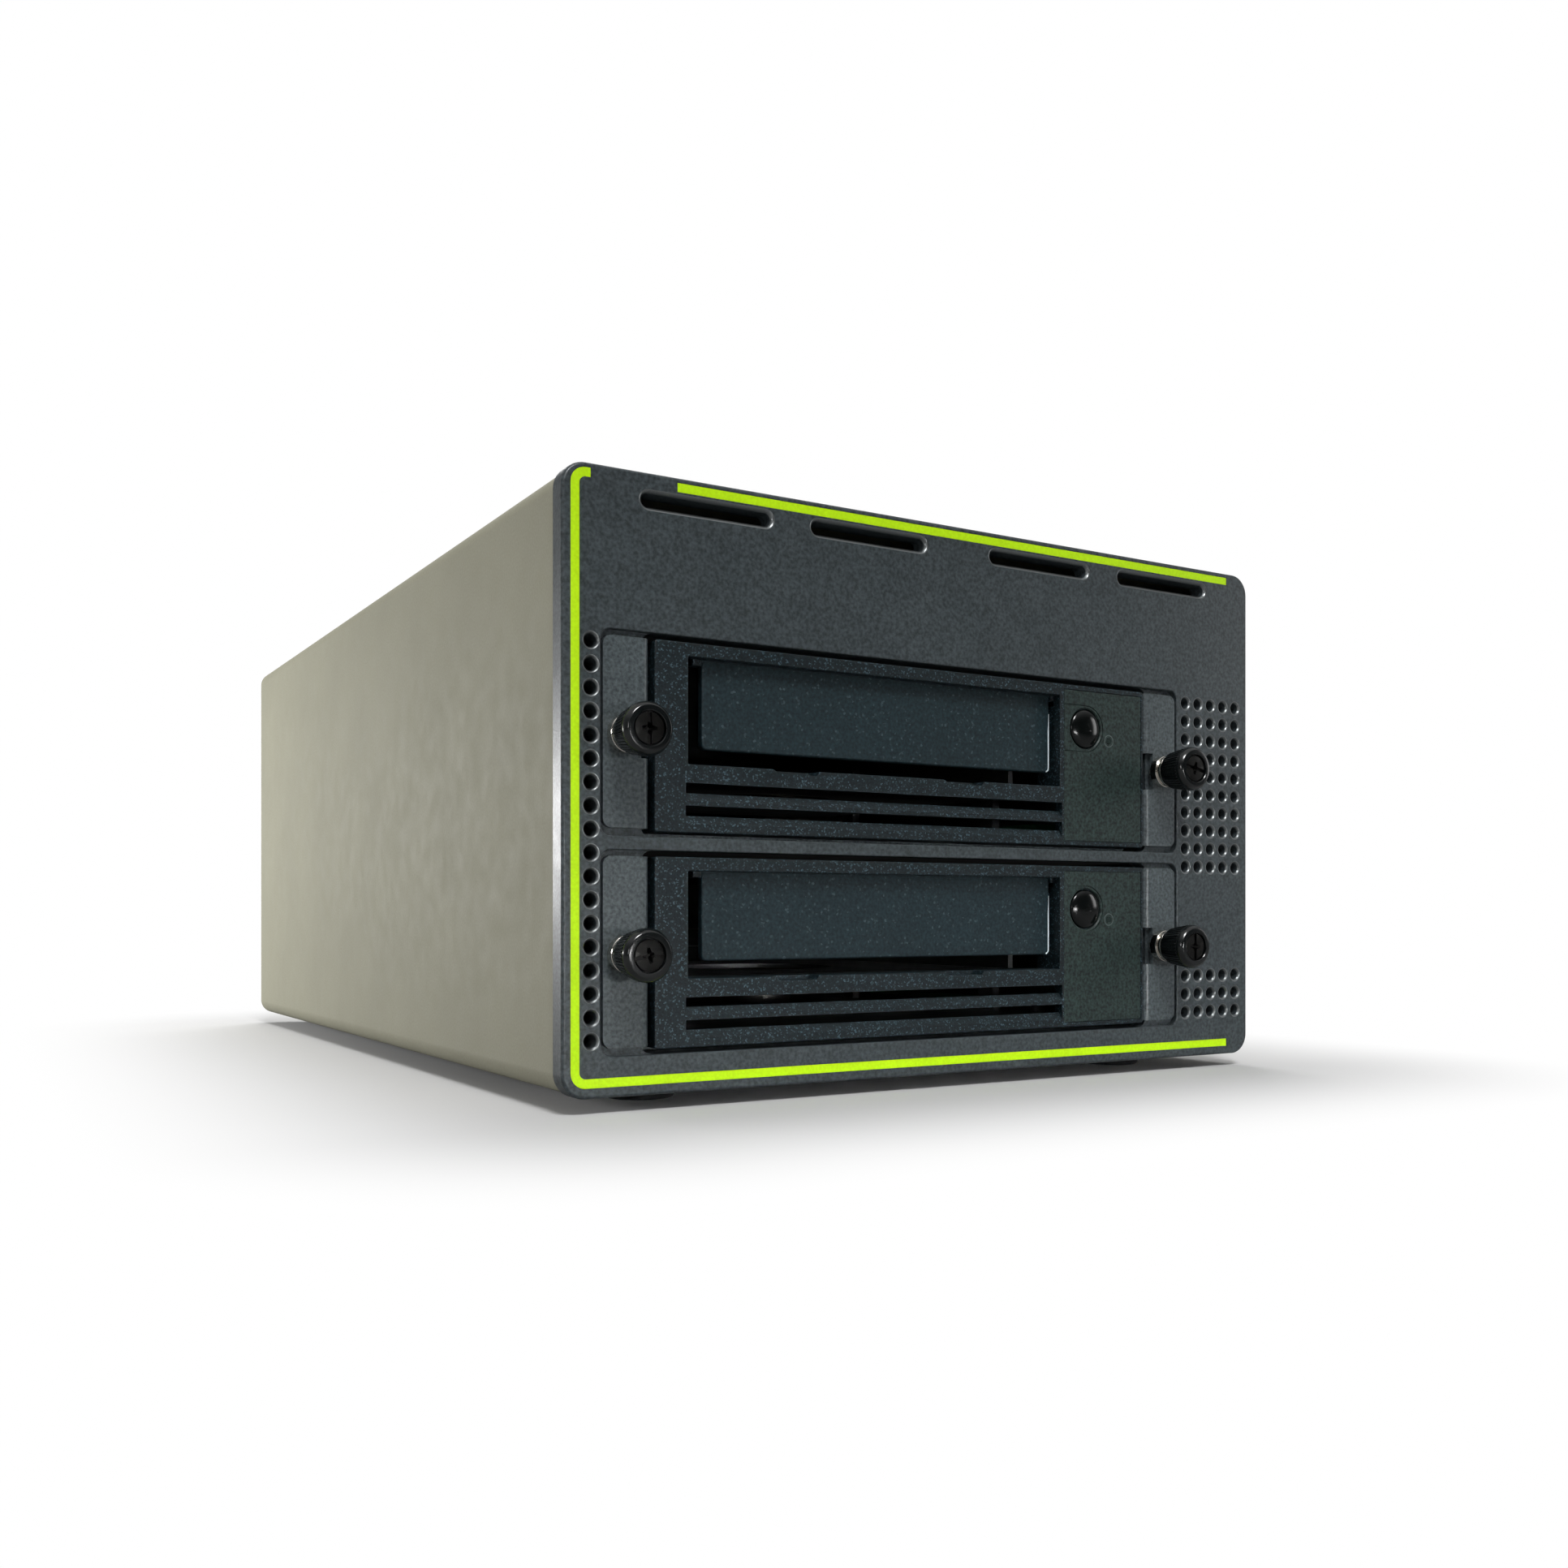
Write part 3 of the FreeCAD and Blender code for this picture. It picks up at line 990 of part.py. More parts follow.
def make_switch():
    """The power switch: a flanged frame and the rocker that tips in it."""
    frame = Piece("switch_frame")
    middle, level = "-switch_x", "inlet_up"
    back = f"({REAR_FACE} + switch_rim)"
    wide, tall = "(switch_wide - 2 * port_gap)", "(switch_tall - 2 * port_gap)"
    frame.pad("front", f"{back} - switch_deep", [about(middle, level, wide, tall)], "switch_deep")
    flange = about(middle, level, "(switch_wide + 2 * switch_rim)", "(switch_tall + 2 * switch_rim)")
    frame.pad("front", REAR_FACE, [flange], "switch_rim")
    room_wide, room_tall = f"({wide} - 2 * switch_wall)", f"({tall} - 2 * switch_wall)"
    room = about(middle, level, room_wide, room_tall)
    frame.cut("front", f"{back} - switch_deep + switch_wall", [room], "switch_deep")
    rocker = Piece("switch_rocker")
    half = f"({room_tall} / 2 - rocker_flat - rocker_gap)"
    pivot = f"({back} - rocker_deep / 2)"
    body = [
        (f"{pivot} - rocker_deep / 2", level), (f"{back} + rocker_gap", f"{level} - {half}"),
        ("(case_deep + rocker_flat)", f"{level} - {half}"), ("(case_deep + rocker_flat)", level),
        ("(case_deep + rocker_proud)", f"{level} + {half}"), (f"{back} + rocker_gap", f"{level} + {half}"),
    ]
    rocker_half = f"({room_wide} / 2 - rocker_gap)"
    rocker.pad("side", f"{middle} - {rocker_half}", [body], f"2 * {rocker_half}")
    pin_circle = [circle(pivot, level, "rocker_pin")]
    rocker.pad("side", f"{middle} - {rocker_half} - rocker_gap - switch_wall / 2", pin_circle,
               f"2 * ({rocker_half} + rocker_gap) + switch_wall")
    bore = [circle(pivot, level, "rocker_pin + run_gap")]
    frame.cut("side", f"{middle} + {room_wide} / 2 + switch_wall / 2 + run_gap", bore,
              f"{room_wide} + switch_wall + 2 * run_gap")


def make_interface():
    """The interface card behind the back plate and its two data sockets."""
    card = Piece("interface_card")
    low = "(socket_up - socket_tall / 2 - card_thick)"
    half = "card_wide / 2"
    middle = "(socket_pitch / 2 - socket_x)"
    outline = rect(f"{middle} - {half}", f"{REAR_INNER} - card_deep", f"{middle} + {half}", REAR_INNER)
    card.pad("top", low, [outline], "card_thick")
    shells = Piece("data_sockets")
    front = f"({REAR_FACE} + socket_proud - socket_long)"
    shells.pad("front", front, [socket_outline(number, "0") for number in range(2)], "socket_long")
    room = [socket_outline(number, "(-socket_wall)") for number in range(2)]
    shells.cut("front", f"{front} + socket_back", room, "socket_long")


def make_power_supply():
    """The closed power supply on the base pan, with slots in its case."""
    piece = Piece("power_supply")
    box = rect("-supply_left", "supply_start", "-supply_right", "supply_end")
    piece.pad("top", PAN_TOP, [box], "supply_tall")
    middle = "(supply_left + supply_right) / 2"
    top = f"{PAN_TOP} + supply_tall"
    slot = obround(f"-{middle}", "supply_start + 2 * supply_pitch", "supply_slot * 2", "supply_pitch / 2")
    vent = piece.cut("top", top, [slot], "sheet")
    piece.repeat(vent, "Y_Axis", "supply_pitch * 1.5", SUPPLY_VENTS)


def make_case_screws():
    """The screws at the corners of the back plate."""
    piece = Piece("case_screws")
    dome = [
        (REAR_FACE, "0"), (REAR_FACE, "case_screw"), (f"{REAR_FACE} + case_screw_head / 2", "case_screw"),
        (f"{REAR_FACE} + case_screw_head", "case_screw / 2"), (f"{REAR_FACE} + case_screw_head", "0"),
    ]
    head = piece.turn("side", dome, level="-case_screw_in", up=f"{CASE_LOW} + case_screw_end")
    span = f"({CASE_HIGH} - {CASE_LOW} - 2 * case_screw_end)"
    piece.repeat(head, "X_Axis", "2 * case_screw_in", 2, ("Z_Axis", span, 2))


def build():
    """Makes every sub-part."""
    make_front_panel()
    make_accent_stripe()
    make_case_wrap()
    make_base_pan()
    make_front_bulkhead()
    make_drive_cage()
    make_rear_panel()
    make_rubber_feet()
    for bay, name in BAYS:
        make_sled(bay, name)
        make_ferrules(bay, name)
        make_bezel(bay, name)
        make_controls(bay, name)
        make_door(bay, name)
        make_drive_frame(bay, name)
        make_drive_lid(bay, name)
        make_tray(bay, name)
        make_mechanism(bay, name)
    for name, bay, sign in screw_places():
        make_thumbscrew(name, bay, sign)
    make_fan()
    make_power_inlet()
    make_switch()
    make_interface()
    make_power_supply()
    make_case_screws()
    DOC.recompute()


def check():
    """Stops with a plain message where an object failed or a shape isn't sound."""
    for item in DOC.Objects:
        if "Invalid" in item.State or "Error" in item.State:
            raise ValueError(f"{item.Name} failed: {item.State}")
    for name, item in PIECES.items():
        shape = item.Shape
        if shape.isNull() or not shape.isValid() or not shape.Solids:
            raise ValueError(f"{name} has no sound shape")


build()
check()
os.makedirs("parts", exist_ok=True)
for label, part in PIECES.items():
    part.Shape.exportStep(f"parts/{label}.step")
print(len(PIECES), "sub-parts,", sum(len(part.Shape.Solids) for part in PIECES.values()), "solids")
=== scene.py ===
"""Looks of a two-bay desktop data tape drive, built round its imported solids.

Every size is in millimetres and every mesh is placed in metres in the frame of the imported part.
X runs to the right seen from the front, Y from the front face to the back, Z up from the floor.
"""

from dataclasses import dataclass, field
from enum import Enum
import logging
import math
from typing import Mapping, Sequence

import bmesh
import bpy
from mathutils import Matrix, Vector


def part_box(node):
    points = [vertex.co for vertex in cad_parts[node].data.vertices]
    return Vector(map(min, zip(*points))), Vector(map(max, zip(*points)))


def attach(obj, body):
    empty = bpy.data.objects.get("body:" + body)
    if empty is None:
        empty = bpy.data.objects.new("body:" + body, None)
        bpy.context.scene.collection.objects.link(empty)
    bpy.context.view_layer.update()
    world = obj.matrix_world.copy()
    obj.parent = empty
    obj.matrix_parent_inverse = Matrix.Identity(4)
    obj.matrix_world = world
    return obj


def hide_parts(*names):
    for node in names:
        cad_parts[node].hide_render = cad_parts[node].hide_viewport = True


LOG = logging.getLogger("tape_drive")
MM = 0.001
Point = tuple[float, float]
Place = tuple[float, float, float]
Piece = bpy.types.Object
Socket = bpy.types.NodeSocket
Inputs = Mapping[str | int, object]

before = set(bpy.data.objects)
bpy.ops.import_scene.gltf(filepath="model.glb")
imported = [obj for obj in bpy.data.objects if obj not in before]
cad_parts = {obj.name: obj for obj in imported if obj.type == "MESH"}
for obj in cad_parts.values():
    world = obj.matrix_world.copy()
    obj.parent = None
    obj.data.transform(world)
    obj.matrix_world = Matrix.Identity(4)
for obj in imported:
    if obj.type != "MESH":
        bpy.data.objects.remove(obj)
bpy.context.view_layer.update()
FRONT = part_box("front_panel")[0].y / MM
PANEL_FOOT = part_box("front_panel")[0].z / MM
BAY_MIDDLE = -9.6
BAY_FEET = {"lower": 12.4, "upper": 60.35}
# How far a cutter reaches past what it cuts.
CLEAR = 1.0
# The middle range of a noise, in which nearly all of it lies.
NOISE_SPAN = (0.3, 0.7)


# Node trees


@dataclass(frozen=True)
class Graph:
    """A node tree, with short ways to add nodes and to link them."""

    tree: bpy.types.NodeTree

    def find(self, kind: str) -> bpy.types.Node:
        """The tree's first node of a kind."""
        return next(node for node in self.tree.nodes if node.type == kind)

    def feed(self, node: bpy.types.Node, inputs: Inputs) -> None:
        """Sets a node's inputs and links those that get a socket.

        Args:
            node: The node.
            inputs: What goes into it, by the input's name or number.
        """
        for key, value in inputs.items():
            if isinstance(value, Socket):
                self.tree.links.new(value, node.inputs[key])
            else:
                node.inputs[key].default_value = value

    def add(self, kind: str, inputs: Inputs, outlet: str = "Result", **options: str) -> Socket:
        """Adds a node.

        Args:
            kind: The node's type.
            inputs: What goes into it.
            outlet: Which of its outlets is wanted.
            options: The node's own options.

        Returns:
            The outlet.
        """
        node = self.tree.nodes.new(kind)
        for name, value in options.items():
            setattr(node, name, value)
        self.feed(node, inputs)
        return node.outputs[outlet]

    def ramp(self, value: Socket, spans: tuple[Point, Point], shape: str = "LINEAR") -> Socket:
        """Stretches a value's first span over the second one."""
        (start, end), (low, high) = spans
        return self.add("ShaderNodeMapRange", {"Value": value, "From Min": start, "From Max": end,
                                               "To Min": low, "To Max": high},
                        interpolation_type=shape)

    def blend(self, share: float | Socket, one: object, two: object, way: str = "MIX") -> Socket:
        """Blends two colours by a share."""
        return self.add("ShaderNodeMix", {"Factor": share, "A": one, "B": two},
                        data_type="RGBA", blend_type=way)

    def choice(self, switch: Socket, off: float | Socket, on: float | Socket) -> Socket:
        """The first value where a switch is 0 and the second where it is 1."""
        return self.add("ShaderNodeMix", {"Factor": switch, "A": off, "B": on})


# Colours and finishes


def linear(channel: float) -> float:
    """Turns one screen value from 0 to 255 into a linear one."""
    share = channel / 255
    return share / 12.92 if share <= 0.04045 else ((share + 0.055) / 1.055) ** 2.4


def shade_of(tint: Sequence[float], factor: float = 1.0) -> tuple[float, float, float, float]:
    """A screen colour as linear values, made lighter or darker by a factor.

    Args:
        tint: Red, green and blue from 0 to 255.
        factor: What the linear values are multiplied by.

    Returns:
        Linear red, green, blue and an alpha of 1.
    """
    return tuple(min(1.0, linear(channel) * factor) for channel in tint) + (1.0,)


class Shine(Enum):
    """How a finish throws light back."""

    PAINT = "paint"
    PLASTIC = "plastic"
    METAL = "metal"
    RUBBER = "rubber"


@dataclass(frozen=True)
class Finish:
    """One surface finish: colour, gloss and the grain of its surface."""

    name: str
    tint: tuple[float, float, float]
    shine: Shine = Shine.PLASTIC
    roughness: float = 0.5
    drift: float = 0.06
    mottle: float = 0.06
    specular: float = 0.5
    patch: float = 25.0
    grain: float = 0.35
    relief: float = 0.006
    # Share of grains made lighter as painted glints, and the colour of these glints.
    glint: float = 0.0
    glint_tint: tuple[float, float, float] = (170, 185, 190)
    brushed: float = 1.0

    def material(self) -> bpy.types.Material:
        """The finish as a Blender material, made once and then shared.

        Returns:
            The node-based material of this finish.
        """
        known = bpy.data.materials.get(f"{self.name}_finish")
        if known:
            return known
        made = bpy.data.materials.new(f"{self.name}_finish")
        made.use_nodes = True
        graph = Graph(made.node_tree)
        stretch = (1.0, 1.0 / self.brushed, 1.0)
        spot = graph.add("ShaderNodeTexCoord", {}, "Object")
        place = graph.add("ShaderNodeMapping", {"Scale": stretch, "Vector": spot}, "Vector")
        uneven = self._noise(graph, place, self.patch / 4, 4.0)
        rough = (self.roughness * 0.9, min(1.0, self.roughness * 1.1))
        height = self._noise(graph, place, self.grain, 1.0)
        graph.feed(graph.find("BSDF_PRINCIPLED"), {
            "Metallic": 1.0 if self.shine is Shine.METAL else 0.0,
            "Specular IOR Level": self.specular,
            "Base Color": self._colour(graph, place),
            "Roughness": graph.ramp(uneven, (NOISE_SPAN, rough)),
            "Normal": graph.add("ShaderNodeBump", {"Distance": self.relief * MM, "Height": height},
                                "Normal"),
        })
        return made

    def _noise(self, graph: Graph, place: Socket, size: float, detail: float = 2.0) -> Socket:
        """A noise whose patches are about that many millimetres wide."""
        return graph.add("ShaderNodeTexNoise",
                         {"Scale": 1.0 / (size * MM), "Detail": detail, "Vector": place}, "Fac")

    def _colour(self, graph: Graph, place: Socket) -> Socket:
        """The colour, with slow drifts, a fine mottle and painted glints: grains made lighter in
        the colour, in place of the sparkle that light gives the surface.

        Args:
            graph: The material's nodes.
            place: Where a point of the surface is.

        Returns:
            The colour.
        """
        slow = graph.ramp(self._noise(graph, place, self.patch), (NOISE_SPAN, (0.0, 1.0)))
        drifts = [shade_of(self.tint, factor) for factor in (1.0 - self.drift, 1.0 + self.drift)]
        fine = graph.ramp(self._noise(graph, place, self.grain * 1.5),
                          (NOISE_SPAN, (1.0 - self.mottle, 1.0 + self.mottle)))
        colour = graph.blend(1.0, graph.blend(slow, *drifts), fine, "MULTIPLY")
        if not self.glint:
            return colour
        # Painted glints: lighter grains in the base colour that stand in for sparkle.
        grains = graph.add("ShaderNodeTexVoronoi",
                           {"Scale": 1.0 / (self.grain * MM), "Vector": place}, "Color")
        level = graph.add("ShaderNodeSeparateColor", {"Color": grains}, "Red")
        lit = graph.ramp(level, ((1.0 - self.glint, 1.0), (0.0, 1.0)))
        return graph.blend(lit, colour, shade_of(self.glint_tint))


FINISHES = {
    finish.name: finish
    for finish in (
        Finish("front_paint", (60, 67, 70), Shine.PAINT, 0.36, grain=0.55, relief=0.02, drift=0.06,
               mottle=0.45, specular=0.45),
        Finish("worn_edge", (128, 132, 133), Shine.METAL, 0.36, grain=0.3, relief=0.002),
        Finish("accent", (196, 246, 0), Shine.PAINT, 0.5, grain=0.4, relief=0.008, drift=0.03,
               specular=0.3),
        Finish("case_paint", (156, 154, 136), Shine.PAINT, 0.65, grain=0.4, relief=0.01,
               drift=0.03, mottle=0.05, specular=0.12),
        Finish("plain_steel", (150, 152, 152), Shine.METAL, 0.42, brushed=6.0),
        Finish("feet_rubber", (26, 27, 27), Shine.RUBBER, 0.8, grain=0.6, relief=0.03,
               specular=0.3),
        Finish("sled_paint", (72, 80, 83), Shine.PAINT, 0.36, grain=0.55, relief=0.02, drift=0.08,
               mottle=0.5),
        Finish("bright_metal", (222, 218, 210), Shine.METAL, 0.14, grain=0.3, relief=0.001),
        Finish("knob_black", (9, 13, 14), Shine.PLASTIC, 0.19, grain=0.3, relief=0.001,
               specular=0.7),
        Finish("screw_black", (40, 40, 39), Shine.METAL, 0.4, grain=0.3, relief=0.004),
        # The bezel and the door carry painted glints, lighter grains in their colour.
        Finish("bezel_plastic", (12, 24, 28), Shine.PLASTIC, 0.46, grain=0.34, relief=0.035,
               drift=0.12, mottle=0.6, specular=0.35, glint=0.19, glint_tint=(66, 86, 96)),
        Finish("door_plastic", (23, 39, 44), Shine.PLASTIC, 0.5, grain=0.5, relief=0.012,
               drift=0.08, mottle=0.42, specular=0.3, glint=0.06, glint_tint=(58, 72, 78)),
        # Painted highlight: a near-white strip that stands in for the light caught by the door's
        # right bevel.
        Finish("door_edge", (214, 226, 232), Shine.PLASTIC, 0.25, grain=0.3, relief=0.001),
        Finish("insert_plastic", (37, 49, 47), Shine.PLASTIC, 0.46, grain=0.5, relief=0.006,
               mottle=0.7, specular=0.3),
        Finish("button_plastic", (7, 10, 10), Shine.PLASTIC, 0.15, grain=0.3, relief=0.001,
               specular=0.4),
        Finish("mark_grey", (74, 86, 84), Shine.PAINT, 0.6, grain=0.3, relief=0.002),
        Finish("light_pipe", (38, 48, 46), Shine.PLASTIC, 0.2, grain=0.3, relief=0.001),
        Finish("drive_metal", (112, 114, 114), Shine.METAL, 0.62, grain=0.6, relief=0.01),
        Finish("lid_steel", (160, 162, 162), Shine.METAL, 0.36, brushed=8.0),
        Finish("tray_metal", (118, 120, 120), Shine.METAL, 0.62, brushed=5.0),
        Finish("motor_metal", (96, 96, 94), Shine.METAL, 0.55, grain=0.4, relief=0.004),
        Finish("reel_plastic", (40, 41, 42), Shine.PLASTIC, 0.4, grain=0.3, relief=0.004),
        Finish("head_ceramic", (96, 92, 86), Shine.PLASTIC, 0.3, grain=0.3, relief=0.002),
        Finish("board_green", (24, 74, 44), Shine.PLASTIC, 0.38, grain=1.6, relief=0.02),
        Finish("connector_black", (22, 22, 23), Shine.PLASTIC, 0.45, grain=0.4, relief=0.006),
        Finish("fan_plastic", (30, 31, 32), Shine.PLASTIC, 0.48, grain=0.5, relief=0.01),
        Finish("guard_wire", (176, 176, 174), Shine.METAL, 0.24, grain=0.4, relief=0.002),
        Finish("inlet_plastic", (24, 25, 26), Shine.PLASTIC, 0.42, grain=0.4, relief=0.006),
        Finish("rocker_plastic", (28, 28, 29), Shine.PLASTIC, 0.34, grain=0.4, relief=0.004),
        Finish("supply_case", (150, 152, 150), Shine.METAL, 0.48, grain=0.8, relief=0.012),
    )
}


# Outlines and meshes


def across(offset: float) -> float:
    """A place across the case, given from the middle of the bays."""
    return offset + BAY_MIDDLE


def arc(middle: Point, radius: float, start: float, end: float, steps: int) -> list[Point]:
    """Points along an arc.

    Args:
        middle: The arc's middle.
        radius: Its radius.
        start: Its first angle, in degrees.
        end: Its last angle.
        steps: How many steps it has.

    Returns:
        The points in order, both ends included.
    """
    turns = [math.radians(start + (end - start) * step / steps) for step in range(steps + 1)]
    return [(middle[0] + radius * math.cos(turn), middle[1] + radius * math.sin(turn))
            for turn in turns]


@dataclass(frozen=True)
class Outline:
    """An upright rectangle with round corners, drawn in the XZ plane."""

    left: float
    low: float
    right: float
    high: float
    radius: float = 0.0
    steps: int = 8

    def points(self, inset: float = 0.0) -> list[Point]:
        """The outline's points, drawn in by a distance.

        Args:
            inset: How far every side moves inwards; less than 0 moves it outwards.

        Returns:
            The points, counter-clockwise seen from the front.
        """
        radius = max(self.radius - inset, 0.01)
        sides = (self.left + inset + radius, self.right - inset - radius)
        levels = (self.low + inset + radius, self.high - inset - radius)
        corners = ((sides[0], levels[0], 180), (sides[1], levels[0], 270),
                   (sides[1], levels[1], 0), (sides[0], levels[1], 90))
        return [spot for x, z, start in corners
                for spot in arc((x, z), radius, start, start + 90, self.steps)]


@dataclass(frozen=True)
class Polygon:
    """Any closed outline in the XZ plane, counter-clockwise seen from the front."""

    corners: tuple[Point, ...]

    def points(self, inset: float = 0.0) -> list[Point]:
        """The outline's points, each side moved inwards by the same distance.

        Args:
            inset: How far the sides move; less than 0 moves them outwards.

        Returns:
            The points, counter-clockwise seen from the front.
        """
        if not inset:
            return list(self.corners)
        made = []
        count = len(self.corners)
        for i in range(count):
            before, here, after = (Vector(self.corners[(i + k) % count]) for k in (-1, 0, 1))
            one, two = (here - before).normalized(), (after - here).normalized()
            normals = [Vector((-side.y, side.x)) for side in (one, two)]
            middle = normals[0] + normals[1]
            spot = here + middle * (2 * inset / middle.length_squared)
            made.append((spot.x, spot.y))
        return made


def rounded_edge(radius: float, steps: int = 5) -> list[Point]:
    """Pairs of inset and depth that round an edge off, from the face inwards."""
    turns = [math.pi / 2 * step / steps for step in range(steps + 1)]
    return [(radius * (1 - math.sin(turn)), radius * (1 - math.cos(turn))) for turn in turns]


def placed(name: str, data: bpy.types.ID) -> Piece:
    """Puts a new object in the scene.

    Args:
        name: The object's name.
        data: Its mesh, lamp or camera data.

    Returns:
        The object.
    """
    made = bpy.data.objects.new(name, data)
    bpy.context.scene.collection.objects.link(made)
    return made


def flared(reach: float) -> list[Point]:
    """Pairs of inset and depth of a cutter whose mouth widens by a reach."""
    return [(-reach, -0.5), (-reach, -0.001), (-reach * 0.4, reach * 0.3), (0.0, reach)]


def new_piece(name: str, verts: Sequence[Place], faces: Sequence[Sequence[int]]) -> Piece:
    """A mesh object from points in millimetres, with its normals turned outwards.

    Args:
        name: The object's name.
        verts: The points, in millimetres.
        faces: The faces, as rows of point numbers.

    Returns:
        The object, at the origin of the frame.
    """
    mesh = bpy.data.meshes.new(name)
    mesh.from_pydata([tuple(value * MM for value in vert) for vert in verts], [], faces)
    form = bmesh.new()
    form.from_mesh(mesh)
    bmesh.ops.remove_doubles(form, verts=form.verts, dist=1e-7)
    bmesh.ops.dissolve_degenerate(form, edges=form.edges, dist=1e-7)
    bmesh.ops.recalc_face_normals(form, faces=form.faces)
    form.to_mesh(mesh)
    form.free()
    return placed(name, mesh)


def loft(name: str, rings: Sequence[Sequence[Place]]) -> Piece:
    """A closed solid through rings that have the same number of points.

    Args:
        name: The object's name.
        rings: The rings, in order along the solid.

    Returns:
        The new object.
    """
    count = len(rings[0])
    faces = [tuple(reversed(range(count)))]
    for row in range(len(rings) - 1):
        for i in range(count):
            first, second = row * count + i, row * count + (i + 1) % count
            faces.append((first, second, second + count, first + count))
    faces.append(tuple(range((len(rings) - 1) * count, len(rings) * count)))
    return new_piece(name, [spot for ring in rings for spot in ring], faces)


def plate(name: str, outline: Outline | Polygon, front: float, back: float,
          edge: Sequence[Point] = ((0.0, 0.0),), rear: Sequence[Point] = ()) -> Piece:
    """An upright plate with a shaped front edge.

    Args:
        name: The object's name.
        outline: Its outline.
        front: How far behind the front face of the case it starts.
        back: Where it ends.
        edge: Pairs of inset and depth along its front edge.
        rear: The same for its back edge.

    Returns:
        The new object.
    """
    rows = [(inset, front + depth) for inset, depth in edge]
    rows += [(inset, back - depth) for inset, depth in reversed(rear)] or [(0.0, back)]
    return loft(name, [[(x, FRONT + depth, z) for x, z in outline.points(inset)]
                       for inset, depth in rows])


def beam(name: str, section: Sequence[Point], start: float, end: float) -> Piece:
    """A bar across the case, from a section of depths and heights."""
    return loft(name, [[(x, FRONT + depth, z) for depth, z in section] for x in (start, end)])


def lathe(name: str, profile: Sequence[Point], centre: Point, turns: int = 64) -> Piece:
    """A shape turned about an axis that runs from the front to the back.

    Args:
        name: The object's name.
        profile: Pairs of radius and depth.
        centre: Where the axis is, across and up.
        turns: How many flats go round.

    Returns:
        The new object.
    """
    verts, faces = [], []
    for radius, depth in profile:
        for turn in range(turns):
            angle = 2 * math.pi * turn / turns
            verts.append((centre[0] + radius * math.cos(angle), FRONT + depth,
                          centre[1] + radius * math.sin(angle)))
    for row in range(len(profile) - 1):
        for turn in range(turns):
            first, second = row * turns + turn, row * turns + (turn + 1) % turns
            faces.append((first, second, second + turns, first + turns))
    if profile[0][0] and profile[0] != profile[-1]:
        faces.append(tuple(reversed(range(turns))))
    if profile[-1][0] and profile[0] != profile[-1]:
        faces.append(tuple(range(len(verts) - turns, len(verts))))
    return new_piece(name, verts, faces)


def settle(piece: Piece) -> Piece:
    """Bakes a piece's modifiers into its mesh and takes them off.

    Args:
        piece: The piece, with its modifiers.

    Returns:
        The piece.
    """
    bpy.context.view_layer.update()
    graph = bpy.context.evaluated_depsgraph_get()
    mesh = bpy.data.meshes.new_from_object(piece.evaluated_get(graph))
    piece.modifiers.clear()
    piece.data = mesh
    return piece


def joined(name: str, pieces: Sequence[Piece]) -> Piece:
    """Several pieces as one, in one new mesh.

    Args:
        name: The new object's name.
        pieces: The pieces, which then go.

    Returns:
        The new object.
    """
    form = bmesh.new()
    for piece in pieces:
        form.from_mesh(piece.data)
        bpy.data.objects.remove(piece)
    mesh = bpy.data.meshes.new(name)
    form.to_mesh(mesh)
    form.free()
    return placed(name, mesh)


def carve(piece: Piece, *cutters: Piece) -> Piece:
    """Takes cutters out of a piece, one after the other.

    Args:
        piece: The piece.
        cutters: What is taken out; each then goes.

    Returns:
        The piece.
    """
    for cutter in cutters:
        tool = piece.modifiers.new("cut", "BOOLEAN")
        tool.operation = "DIFFERENCE"
        tool.solver = "EXACT"
        tool.object = cutter
        settle(piece)
        bpy.data.objects.remove(cutter)
    return piece


def smooth(piece: Piece, angle: float = 32.0) -> Piece:
    """Shades a piece smooth, with sharp edges past an angle and flat faces kept flat.

    Args:
        piece: The piece.
        angle: The turn past which an edge stays sharp, in degrees.

    Returns:
        The piece.
    """
    piece.data.shade_smooth()
    piece.data.set_sharp_from_angle(angle=math.radians(angle))
    weighted = piece.modifiers.new("normals", "WEIGHTED_NORMAL")
    weighted.keep_sharp = True
    return settle(piece)


def softened(name: str, node: str, width: float, segments: int = 2,
             angle: float = 40.0) -> Piece:
    """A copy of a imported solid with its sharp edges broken.

    Args:
        name: The new object's name.
        node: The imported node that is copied.
        width: How wide the broken edges are.
        segments: How many faces round each edge.
        angle: The turn past which an edge is broken.

    Returns:
        The new object.
    """
    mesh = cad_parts[node].data.copy()
    mesh.materials.clear()
    form = bmesh.new()
    form.from_mesh(mesh)
    bmesh.ops.remove_doubles(form, verts=form.verts, dist=1e-6)
    bmesh.ops.dissolve_limit(form, angle_limit=math.radians(0.5), verts=form.verts,
                             edges=form.edges)
    form.to_mesh(mesh)
    form.free()
    normals = mesh.attributes.get("custom_normal")
    if normals:
        mesh.attributes.remove(normals)
    made = placed(name, mesh)
    bevel = made.modifiers.new("edges", "BEVEL")
    bevel.width = width * MM
    bevel.segments = segments
    bevel.limit_method = "ANGLE"
    bevel.angle_limit = math.radians(angle)
    return smooth(settle(made))


def fit(piece: Piece, finish: str, body: str, *nodes: str,
        slotted: bool = True) -> Piece:
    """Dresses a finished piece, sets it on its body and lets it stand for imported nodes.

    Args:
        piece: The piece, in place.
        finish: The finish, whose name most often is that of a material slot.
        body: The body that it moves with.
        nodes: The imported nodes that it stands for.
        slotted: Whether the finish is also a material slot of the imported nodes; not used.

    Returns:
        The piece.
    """
    piece.data.materials.clear()
    piece.data.materials.append(FINISHES[finish].material())
    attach(piece, body)
    if nodes:
        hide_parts(*nodes)
    LOG.info("%s: %d faces on %s", piece.name, len(piece.data.polygons), body)
    return piece


# Repeats, made with Geometry Nodes


